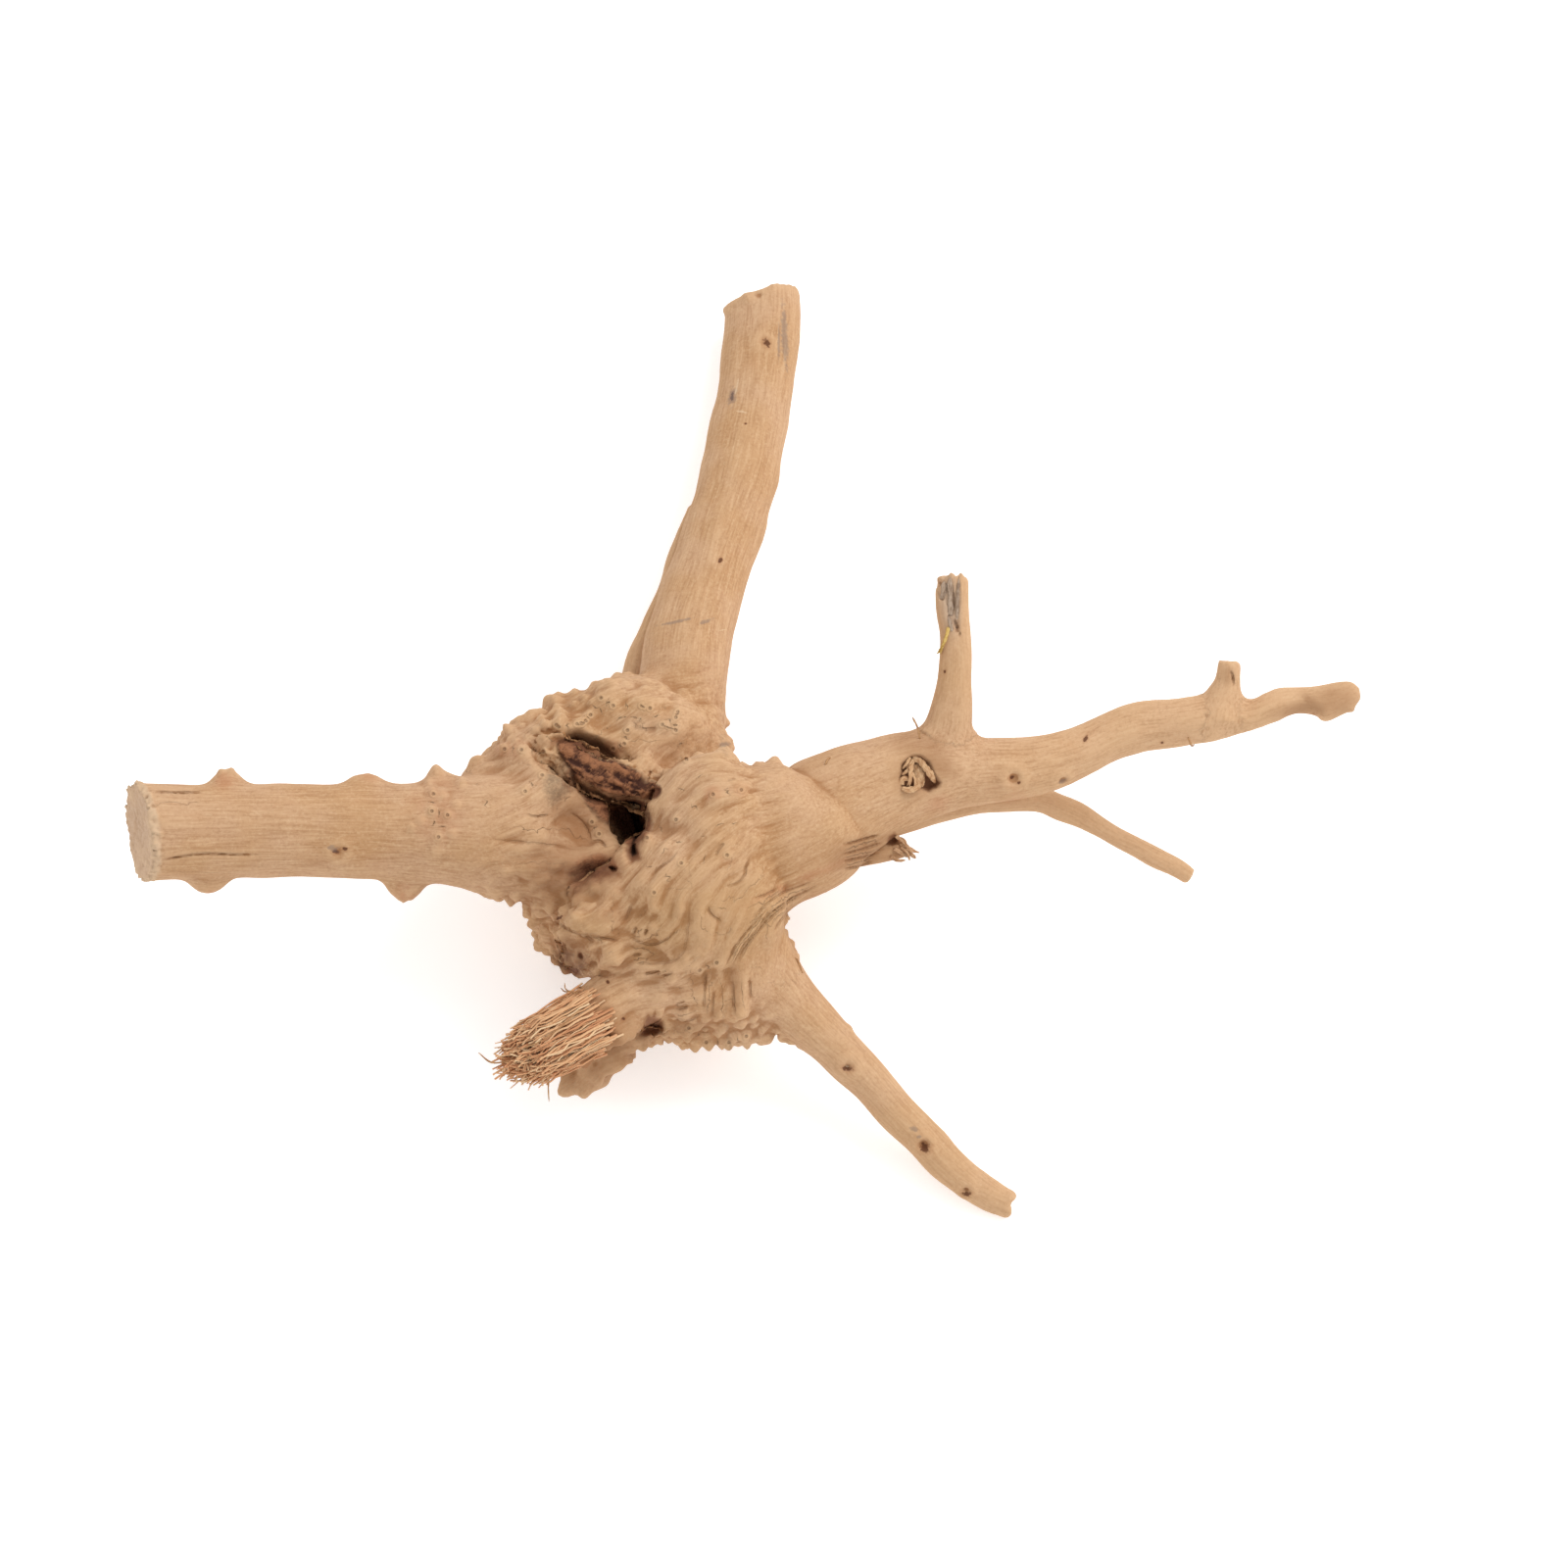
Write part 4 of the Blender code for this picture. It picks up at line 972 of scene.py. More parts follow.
def behind_saw(points):
    """How far each point lies behind the sawn face."""
    return -((points - SAWN_FACE) @ np.array(SAWN_NORMAL))


def torn_relief(points, normals):
    """Height of the torn rim just behind the sawn face."""
    on_face = ease(0.75, 0.95, normals @ np.array(SAWN_NORMAL))
    torn = (1 - ease(0.1, 1.8, behind_saw(points))) * (1 - 0.75 * on_face)
    return 0.7 * crumble(points, 0.8, 34) * torn


def raise_folds(mesh, share, sheets):
    """Second pass: folds along the grain, crust, buds, creases, rot and the torn sawn rim."""
    points = read_points(mesh) / MM
    normals = read_normals(mesh)
    flat = layout(points)
    towards = normals @ TOWARDS
    facing = ease(0.0, 0.3, towards)
    flow = flow_places(points, sheets)
    limbs = limb_places(points)
    lumpy = 0.35 + 0.65 * stain_share(flat, LUMPY)
    height = 0.95 * ripple(flow, 3.0, 1.9, 21) * lumpy * share
    height += 0.75 * ripple(flow, 1.5, 2.8, 23) * lumpy * share
    height += 0.15 * ripple(flow, 0.8, 7, 25) * share
    height -= 0.14 * wrinkles(flow, 2.6, 3.5, 27) * ease(-0.1, 0.4, field(points, 6, 28)) * share
    height += 2.2 * field(points, 3.4, 33) * stain_share(flat, LOW_KNOBS)
    height += (0.28 * ripple(limbs, 3.0, 14, 24) + 0.35 * field(points, 7, 35)) * (1 - share)
    height += 0.9 * ripple(limbs, 0.8, 9, 36) * frayed_share(points)
    edge = 1 - 0.75 * ease(0.55, 0.92, towards)
    behind = 1 - ease(-0.3, 0.0, towards)
    crust = np.maximum(behind * share, edge * stain_share(flat, THORNY))
    tree = plant(points)
    height += scatter(tree, points, crust, CRUST_COUNT, CRUST_RADIUS, CRUST_HEIGHT)
    budded = stain_share(flat, BUDDED) * facing
    height += scatter(tree, points, budded, BUD_COUNT, BUD_RADIUS, BUD_HEIGHT)
    height += mark_relief(flat, ease(-0.5, 0.1, towards), RIM_BUMPS)
    height += mark_relief(flat, facing, PIMPLES)
    height -= crease_relief(flat, facing) * (0.75 + 0.5 * field(points, 2, 29))
    height += rot_relief(points, flat)
    height += torn_relief(points, normals)
    raise_skin(mesh, height)


def sink_pockets(mesh):
    """Last pass: press the pockets in along the eye's aim."""
    points = read_points(mesh) / MM
    depth = pocket_depth(points) * ease(-0.2, 0.2, read_normals(mesh) @ TOWARDS)
    write_points(mesh, (points - depth[:, None] * TOWARDS) * MM)


def add_relief(item, sheets):
    """Raise the relief of the wood in three passes, large forms first."""
    share = burl_share(read_points(item.data) / MM)
    raise_swellings(item.data, share)
    raise_folds(item.data, share, sheets)
    sink_pockets(item.data)


def give(mesh, name, values):
    """Keep one number or one vector for each vertex under a name that the finish reads."""
    kind = "FLOAT" if values.ndim == 1 else "FLOAT_VECTOR"
    layer = mesh.attributes.new(name, kind, "POINT")
    layer.data.foreach_set("value" if values.ndim == 1 else "vector", values.ravel())


# How many rounds of smoothing tell a fine ridge and a broad fold from the skin round them.
# The finish paints shade into the valleys and highlight onto the crests that these measures tell.
RIDGE_ROUNDS = 5
FOLD_ROUNDS = 60


def give_folds(item):
    """Keep how far each point stands above the skin round it, near by and further out."""
    mesh = item.data
    points = read_points(mesh) / MM
    normals = read_normals(mesh)
    first, second = read_edges(mesh)
    counts = neighbour_counts(first, second, len(points))
    soft = points.copy()
    for done in range(1, FOLD_ROUNDS + 1):
        soft = neighbour_mean(soft, first, second, counts)
        if done in (RIDGE_ROUNDS, FOLD_ROUNDS):
            name = "ridge" if done == RIDGE_ROUNDS else "fold"
            give(mesh, name, np.einsum("ij,ij->i", points - soft, normals))


def thin_out(item, triangles):
    """Collapse the skin to about the given number of triangles."""
    item.data.calc_loop_triangles()
    fewer = item.modifiers.new("Fewer", "DECIMATE")
    fewer.ratio = triangles / len(item.data.loop_triangles)
    fewer.use_collapse_triangulate = True
    apply_modifiers(item)


# Stains are ellipses on the layout plane: (middle, radii, turn in degrees, strength).
STAINS = {
    "rot": [
        ((-23.4, -5.8), (3.2, 4.2), -15, 0.9), ((-33.4, 0.6), (1.6, 3.6), 25, 0.5),
        ((-29, -3), (3.4, 1.5), -35, 0.7), ((-26.9, 1.2), (8.2, 2.7), -22, 1),
        ((-32.4, 4.6), (3, 2), -45, 1), ((-20.6, -1), (1.9, 1.5), 0, 1),
        ((-29.6, -13), (5, 2.4), 14, 0.6), ((-27, -4.6), (3.4, 1.9), -30, 0.75),
        ((-33.2, -28), (3.9, 3.2), 0, 0.6), ((-25, -8.8), (1.6, 2.4), -10, 0.5),
    ],
    "mould": [
        ((-34.8, 0.5), (2.7, 4.5), -15, 0.9), ((-37.5, -15.9), (3.9, 1.8), -45, 0.4),
        ((-9.2, 5.8), (1.1, 3), 10, 0.6), ((-22, 4.5), (2.1, 1.2), -20, 0.2),
    ],
    "grey": [
        ((25.7, 27.9), (1.5, 4.6), 4, 1), ((-21, 9), (5, 1.5), -10, 0.25),
    ],
    "olive": [
        ((-10, -20.5), (12, 9), 30, 0.6), ((-9, -17.5), (7, 3.2), 15, 0.8),
        ((-32, -17.5), (3.5, 2), 10, 0.6), ((-20.5, -25.5), (5, 2), 10, 0.5),
        ((-12, -13.5), (5, 4), 30, 0.5), ((-30.5, -21.5), (3.5, 2), -10, 0.5),
    ],
    # Painted shade, with some darker smudges of the wood: brown halos round the knot hole, the
    # stub's foot and the hollows, and the darker tip of the long limb.
    "smudge_and_shade": [
        ((20.4, 1.2), (3.6, 3.4), 0, 0.9), ((19.6, 6), (3.4, 2), -25, 0.7),
        ((11.5, -10.6), (5, 2.4), 14, 1), ((23.6, 3.4), (3.8, 1.9), -40, 1),
        ((-25.5, -39.5), (5.5, 4), 30, 0.7), ((-33, -13.5), (7.5, 5.5), 10, 1),
        ((-30.5, -4.5), (6, 4.5), -20, 0.9), ((81, 11.6), (5.5, 1.3), 8, 0.9),
        ((-31, 6.2), (5, 1.8), -8, 0.9), ((-30.5, -44.5), (5.5, 3.5), 20, 0.7),
        ((85.5, 12.9), (3.6, 2.4), 10, 0.8), ((81.5, 12.6), (2, 0.8), -40, 0.9),
        ((68.6, 16.6), (0.9, 1.6), 0, 0.7), ((22.5, 5.5), (3.4, 2), -20, 0.8),
        ((13, -9.5), (7, 1), 20, 0.8), ((18, -11.2), (3.5, 0.8), 5, 0.9),
        ((-7.5, -31), (1, 3.6), 5, 0.7), ((-11, -34.5), (1.4, 2.2), 0, 0.6),
        ((-27, -20.5), (4, 0.9), 10, 0.6), ((-14.4, -38), (4, 1.6), 0, 0.6),
    ],
    "russet": [
        ((-86.4, 0.6), (1.5, 1.3), 0, 0.8), ((-64, 1.4), (1.6, 1), 0, 0.7),
        ((-89.5, -16.6), (1.6, 0.9), 0, 0.8), ((-58.6, -16.8), (1.8, 1.3), 0, 1),
        ((-53.2, -3.8), (3.4, 4.8), 0, 0.5), ((-26.4, 5.4), (1.6, 1.4), 0, 0.8),
        ((-11, -1.6), (1.3, 1.3), 0, 0.8), ((-6.6, -0.9), (1.1, 1.1), 0, 0.6),
        ((-8.8, -11), (1.2, 1.1), 0, 0.8), ((-40.6, 5.3), (1.4, 1.4), 0, 0.7),
        ((-43.2, 5.4), (1.3, 1.1), 0, 0.7), ((-21.2, -8.3), (1.1, 1.1), 0, 0.5),
        ((34.4, -1.5), (2.6, 1.3), 0, 0.6), ((23.8, -3), (2, 1.2), 0, 0.5),
        ((2.4, -15), (7.5, 0.7), 24, 0.7), ((-29.4, -13), (4.5, 1.8), 12, 0.8),
    ],
}
# Small marks that the finish draws, on the layout plane: (middle, radii, turn in degrees).
MARKS = {
    "eye": [
        ((-2.7, 68.1), (0.51, 0.61), 20), ((9.8, -43.9), (0.7, 0.45), -10),
        ((21.7, -56.2), (0.82, 0.64), -35), ((28.3, -63.3), (0.64, 0.39), -10),
        ((-69.2, -10.4), (0.48, 0.33), 10), ((-67.8, -10), (0.33, 0.24), 0),
        ((46.6, 7), (0.24, 0.51), -20), ((24.8, 17.3), (0.18, 0.24), 0),
        ((-9.8, 34.5), (0.27, 0.39), -15), ((35.1, 1.1), (0.39, 0.24), 30),
        ((36.3, 0.2), (0.27, 0.21), 0), ((-34.8, -20.7), (0.61, 0.21), 25),
        ((-5.9, 55.7), (0.18, 0.12), 0), ((58.4, 6.4), (0.23, 0.15), 0),
        ((-24.8, -36.3), (0.21, 0.21), 0), ((-27.2, -30.6), (0.2, 0.27), 20),
        ((-8, 59.8), (0.2, 0.6), -10),
    ],
    "slate": [
        ((0.1, 69), (0.42, 4), 3), ((-8, 59.8), (0.48, 1.21), -10),
        ((-16.5, 25.1), (2.12, 0.2), 12), ((-12.1, 25.1), (0.91, 0.24), 20),
        ((20.1, -53.3), (0.48, 0.33), 0), ((20.9, -54.5), (0.3, 0.21), 0),
        ((43.1, 0.5), (0.55, 0.27), 20), ((-9.2, 6.1), (0.76, 0.33), 10),
        ((-0.8, 68.1), (0.18, 2.12), 0), ((-20, 30.3), (0.76, 0.3), 30),
        ((-69.6, -10), (0.76, 0.38), -20),
    ],
    "pale": [
        ((-7.3, 61.3), (0.12, 1.36), -12), ((-9.4, 23.8), (0.61, 0.12), 10),
        ((9.8, -43.6), (0.36, 0.15), -20), ((-6.5, 57.5), (0.76, 0.15), -10),
    ],
}


def nearest_mark(flat, marks):
    """The offset of each point from the nearest of several round marks."""
    offset = np.full((len(flat), 2), FAR_OFF)
    reach = np.full(len(flat), 1e9)
    for across, up, _, _ in marks:
        here = flat - (across, up)
        gap = np.sum(here**2, axis=1)
        nearer = gap < reach
        offset[nearer] = here[nearer]
        reach = np.minimum(reach, gap)
    return offset


def nearest_crease(flat):
    """The signed distance of each point from the nearest crease, and how strongly it shows."""
    signed = np.full(len(flat), FAR_OFF)
    shown = np.zeros(len(flat))
    for _, deep, trace, rows, k, gap in crease_gaps(flat, LINE_MARGIN):
        ahead = trace[np.minimum(k + 1, len(trace) - 1)] - trace[np.maximum(k - 1, 0)]
        ahead /= np.linalg.norm(ahead, axis=1, keepdims=True)
        offset = flat[rows] - trace[k]
        side = ahead[:, 0] * offset[:, 1] - ahead[:, 1] * offset[:, 0]
        wins = gap < np.abs(signed[rows])
        signed[rows[wins]] = np.where(side < 0, -gap, gap)[wins]
        along = k / (len(trace) - 1)
        strength = np.minimum(1, 5 * np.minimum(along, 1 - along)) * min(1, deep / FULL_CREASE)
        shown[rows[wins]] = strength[wins]
    return signed, shown


def give_places(item, sheets):
    """Keep on the mesh all that the finish reads: grain, burl share, hollows, marks, stains and the
    places of painted shade.
    """
    mesh = item.data
    points = read_points(mesh) / MM
    normals = read_normals(mesh)
    flat = layout(points)
    level = np.zeros(len(flat))
    towards = normals @ TOWARDS
    facing = ease(-0.1, 0.25, towards)
    give(mesh, "burl", burl_share(points))
    give(mesh, "grain", limb_places(points) * np.array([0.07, 1, 1]))
    give(mesh, "swirl", flow_places(points, sheets) * np.array([0.10, 1, 1]))
    # How deep the pockets lie, for the painted shade in them.
    give(mesh, "pocket_shade", pocket_depth(points) * ease(-0.6, -0.1, towards))
    give(mesh, "flat", np.column_stack([flat, level]))
    give(mesh, "pimple", np.column_stack([nearest_mark(flat, PIMPLES), facing]))
    signed, shown = nearest_crease(flat)
    give(mesh, "crease", np.column_stack([signed, shown * facing, level]))
    for name, ellipses in STAINS.items():
        give(mesh, name, stain_share(flat, ellipses) * facing)
    behind = behind_saw(points)
    ends = 1 - ease(0.0, 0.7, np.abs(behind))
    ends *= ease(0.75, 0.95, normals @ np.array(SAWN_NORMAL) / np.linalg.norm(SAWN_NORMAL))
    give(mesh, "sawn", ends)
    give(mesh, "fuzz", (1 - ease(0.2, 1.9, behind)) * (1 - 0.7 * ends))
    # Where the root frays; the finish paints shade there, under the fibre brush.
    give(mesh, "frayed", frayed_share(points))


class Signal:
    """A value or colour in a material: arithmetic on it adds Math nodes."""

    def __init__(self, tree, socket=None):
        self.tree = tree
        self.socket = socket

    def fill(self, made, inputs):
        """Give the sockets of a node their values or links."""
        for name, value in inputs.items():
            if isinstance(value, Signal):
                self.tree.links.new(value.socket, made.inputs[name])
            else:
                made.inputs[name].default_value = value

    def node(self, kind, settings=None, inputs=None, output=0):
        """Add a node: its settings first, then the values or links of its sockets."""
        made = self.tree.nodes.new(kind)
        for name, value in (settings or {}).items():
            setattr(made, name, value)
        self.fill(made, inputs or {})
        return Signal(self.tree, made.outputs[output] if made.outputs else None)

    def math(self, operation, first, second):
        """A Math node on two values, either of which may be a plain number."""
        return self.node("ShaderNodeMath", {"operation": operation}, {0: first, 1: second})

    def vector_math(self, operation, inputs, output=0):
        """A Vector Math node; its second output holds a length."""
        return self.node("ShaderNodeVectorMath", {"operation": operation}, inputs, output)

    def __add__(self, other):
        return self.math("ADD", self, other)

    def __radd__(self, other):
        return self.math("ADD", other, self)

    def __sub__(self, other):
        return self.math("SUBTRACT", self, other)

    def __rsub__(self, other):
        return self.math("SUBTRACT", other, self)

    def __mul__(self, other):
        return self.math("MULTIPLY", self, other)

    def __rmul__(self, other):
        return self.math("MULTIPLY", other, self)

    def __truediv__(self, other):
        return self.math("DIVIDE", self, other)

    def __pow__(self, other):
        return self.math("POWER", self, other)

    def __abs__(self):
        return self.math("ABSOLUTE", self, 0)

    def rise(self, low, high):
        """0 below low, 1 above high, smooth between."""
        inputs = {"Value": self, "From Min": low, "From Max": high}
        return self.node("ShaderNodeMapRange", {"interpolation_type": "SMOOTHSTEP"}, inputs)

    def mix(self, first, second):
        """Mix two colours, with this value as the share of the second."""
        inputs = {0: self, 6: first, 7: second}
        return self.node("ShaderNodeMix", {"data_type": "RGBA"}, inputs, 2)

    def bump(self):
        """A normal that follows this height in millimetres."""
        return self.node("ShaderNodeBump", {}, {"Distance": MM, "Height": self})

    def axis(self, name):
        """One coordinate of this vector."""
        return self.node("ShaderNodeSeparateXYZ", {}, {0: self}, name)

    def read(self, name, output="Fac"):
        """A number or vector kept on the mesh under a name."""
        return self.node("ShaderNodeAttribute", {"attribute_name": name}, {}, output)

    def noise(self, places, scale, detail=2.0, roughness=0.5):
        """Soft noise from 0 to 1 over the given places."""
        inputs = {"Vector": places, "Scale": scale, "Detail": detail, "Roughness": roughness}
        return self.node("ShaderNodeTexNoise", {}, inputs, "Fac")


# The studio light overexposes a white board by this much, so every colour is that much darker.
OVEREXPOSED = 1.33


def shade(red, green, blue):
    """A colour given as it looks on screen under the studio light, 0 to 255."""
    linear = [((c / 255 + 0.055) / 1.055)**2.4 for c in (red, green, blue)]
    return (*[c / OVEREXPOSED for c in linear], 1)


def coats(colour, layers):
    """Lay tones over a colour in turn: (where, how strongly, tone as it looks on screen)."""
    for where, strength, tone in layers:
        colour = (where * strength).mix(colour, shade(*tone))
    return colour


def new_finish(name):
    """A material, a signal to start its nodes from, and the place on the object."""
    material = bpy.data.materials.new(name)
    material.use_nodes = True
    start = Signal(material.node_tree)
    return material, start, start.node("ShaderNodeTexCoord", {}, {}, "Object")


def feed_shader(start, inputs):
    """Set or link the sockets of a finish's shader."""
    start.fill(start.tree.nodes["Principled BSDF"], inputs)


def mark_reach(start, flat, wander, ellipses):
    """How far each place lies from the nearest of several small ellipses: about 1 on its edge."""
    nearest = None
    for centre, radii, turn in ellipses:
        offset = start.node("ShaderNodeMapping", {"vector_type": "TEXTURE"}, {
            "Vector": flat, "Location": (*centre, 0), "Rotation": (0, 0, math.radians(turn)),
            "Scale": (*radii, 1),
        })
        reach = start.vector_math("LENGTH", {0: offset}, 1) + wander
        nearest = reach if nearest is None else start.math("MINIMUM", nearest, reach)
    return nearest


def driftwood_finish():
    """Dry scrubbed wood: fine grain, pinkish and honey patches, dark pits, rot, mould, painted shade
    and highlight.
    """
    material, start, place = new_finish("dry_driftwood")
    grain = start.read("grain", "Vector")
    swirl = start.read("swirl", "Vector")
    burl = start.read("burl")

    def grained(scale, detail):
        """Noise along the grain: the limbs' own, passing into the swirl of the burl."""
        limb = start.noise(grain, scale, detail, 0.6)
        knotty = start.noise(swirl, scale, detail, 0.6)
        return limb + burl * (knotty - limb)

    fine = grained(2.7, 4.0)
    band = grained(0.55, 3.0)
    patch = start.noise(place, 75.0, 3.0, 0.55)
    cloud = start.noise(place, 260.0, 3.0, 0.6)
    speckle = start.noise(place, 2000.0, 2.0, 0.7)
    ridge = start.read("ridge")
    fold = start.read("fold")
    crisp = 0.34 + burl * 0.06
    # Painted shade in the valleys, partly dirt, and painted highlight on the crests, partly wear.
    valley_shade_and_dirt = (ridge * -9.0 + fold * -1.4).rise(0.0, 1.2)
    crest_highlight_and_wear = (ridge * 8.0 + fold * 1.2).rise(0.0, 1.1)

    colour = patch.rise(0.36, 0.64).mix(shade(215, 172, 134), shade(206, 160, 116))
    colour = coats(colour, [
        # Painted light: the wood grows paler towards +X, out along the long limbs.
        (place.axis("X").rise(0.0, 0.075), 0.62, (232, 188, 146)),
        (cloud.rise(0.5, 0.8), 0.30, (206, 154, 112)),
        (band.rise(0.52, 0.75), 0.20, (186, 140, 94)),
        (band.rise(0.47, 0.28), 0.20, (226, 186, 146)),
        (fine.rise(0.50, 0.64), crisp, (168, 119, 76)),
        (fine.rise(0.48, 0.35), crisp, (238, 200, 158)),
        (speckle.rise(0.52, 0.72), 0.28, (154, 108, 70)),
        (speckle.rise(0.48, 0.28), 0.26, (244, 212, 172)),
        (valley_shade_and_dirt, 0.60, (166, 112, 66)),
        (crest_highlight_and_wear, 0.38, (234, 192, 148)),
        (start.read("olive"), 0.45, (186, 142, 88)),
        # Painted shade and darker smudges of the wood, laid out as stains.
        (start.read("smudge_and_shade"), 0.58, (164, 116, 78)),
        (start.read("grey"), 0.6, (206, 182, 160)),
        (start.read("russet") * cloud.rise(0.3, 0.6), 0.5, (196, 124, 86)),
    ])

    pimple = start.read("pimple", "Vector")
    x, y, facing = (pimple.axis(name) for name in "XYZ")
    gap = (x * x + y * y)**0.5
    pit = gap.rise(0.26, 0.10) * facing
    ring = gap.rise(0.2, 0.4) * gap.rise(0.8, 0.45) * facing
    # Painted shade: a thin dark line along each crease, which the bump also sinks.
    crease = start.read("crease", "Vector")
    crease_groove_and_shade = (abs(crease.axis("X")) + (fine - 0.5) * 0.25).rise(0.30, 0.02) * crease.axis("Y")
    flat = start.read("flat", "Vector")
    chips = (start.noise(place, 1300.0, 2.0, 0.6) - 0.5) * 2.4
    eye, slate, pale = (
        mark_reach(start, flat, chips, MARKS[name]) for name in ("eye", "slate", "pale")
    )
    grime = (start.read("mould") * (speckle * 0.7 + cloud * 0.7)).rise(0.25, 0.75)
    colour = coats(colour, [
        (ring, 0.2, (228, 188, 142)),
        (pit, 0.36, (110, 72, 46)),
        (crease_groove_and_shade, 0.24, (126, 84, 54)),
        (eye.rise(2.6, 0.8) * facing, 0.35, (178, 118, 76)),
        (eye.rise(1.3, 0.7) * facing, 0.85, (98, 56, 36)),
        (slate.rise(1.6, 0.6) * facing, 0.5, (134, 120, 112)),
        (pale.rise(1.3, 0.6) * facing, 0.6, (240, 208, 170)),
        (grime, 0.6, (112, 96, 78)),
    ])

    rotten = (start.read("rot") + (cloud - 0.5) * 0.9).rise(0.30, 0.75)
    strand = start.noise(swirl, 7.0, 3.0, 0.7)
    # The rotten wood's own tones, with painted shade in its crevices where the fine ridge measure is
    # low.
    rot_tone_and_crevice_shade = ridge * 3.5 + (cloud - 0.5) * 2.6 + (strand - 0.5) * 2.6 + (speckle - 0.5)
    rot_tone_and_crevice_shade = rot_tone_and_crevice_shade.rise(-0.6, 1.1).mix(shade(76, 44, 33), shade(172, 116, 80))
    colour = rotten.mix(colour, rot_tone_and_crevice_shade)
    # Painted shade in the pockets: brown where they are shallow, near black in the deep hole.
    pocket_shade = start.read("pocket_shade") + (cloud - 0.5) * 0.8
    colour = coats(colour, [
        (pocket_shade.rise(0.1, 1.9), 0.75, (142, 92, 64)),
        (pocket_shade.rise(2.3, 4.6), 0.95, (56, 32, 24)),
    ])

    sawn = start.read("sawn")
    fuzz = start.noise(place, 900.0, 4.0, 0.7)
    end_grain = fuzz.rise(0.35, 0.7).mix(shade(226, 194, 164), shade(204, 166, 134))
    colour = (sawn * 0.85).mix(colour, end_grain)
    colour = coats(colour, [
        ((start.read("fuzz") * (fuzz + 0.25)).rise(0.2, 0.7), 0.6, (238, 208, 174)),
        # Painted shade on the wood under the fibre brush.
        (start.read("frayed"), 0.8, (168, 114, 74)),
    ])

    height = fine * 0.07 + band * 0.10 + speckle * 0.03 + ring * 0.10 - pit * 0.25 - crease_groove_and_shade * 0.20
    height = height + rotten * cloud * 0.5 + rotten * speckle * 0.3 + sawn * fuzz * 0.3
    feed_shader(start, {
        "Base Color": colour, "Roughness": 0.76 + patch * 0.10 + fine * 0.08,
        "Specular IOR Level": 0.2, "Normal": height.bump(),
    })
    return material


def fit(points):
    """Bring places in the wood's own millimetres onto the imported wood, in metres."""
    return (np.asarray(points) * MM - base) * size + middle


wood = grow_body()
sheets = flow_sheets()
add_relief(wood, sheets)
give_folds(wood)
thin_out(wood, WOOD_TRIANGLES)
own = read_points(wood.data)
own[:, 2] = np.maximum(own[:, 2], 0)
write_points(wood.data, own)
give_places(wood, sheets)
low, high = own.min(axis=0), own.max(axis=0)
packed_low, packed_high = (np.array(corner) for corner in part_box("driftwood"))
size = (packed_high[0] - packed_low[0]) / (high[0] - low[0])
base = np.array([(low[0] + high[0]) / 2, (low[1] + high[1]) / 2, low[2]])
middle = np.array([*(packed_low + packed_high)[:2] / 2, packed_low[2]])
write_points(wood.data, fit(own / MM))
wood.data.materials.append(driftwood_finish())
wood.data.shade_smooth()
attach(wood, "root")
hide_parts("driftwood")


# The frayed end. The root tore off here, and its tough fibres stand out as a brush: they part
# from the wood all round it and end in a tangle, with a few long ones that stray.
FIBRE_FOOT = (-24.2, -57.2, 28.9)
FIBRE_AIM = (-0.80, -0.55, 0.24)
FIBRE_POINTS = 9
FIBRE_SIDES = 4
# The outer fibres start up to this far back along the root, each turned on by the next angle.
FIBRE_ROOT = 6.0
GOLDEN_ANGLE = 2.39996


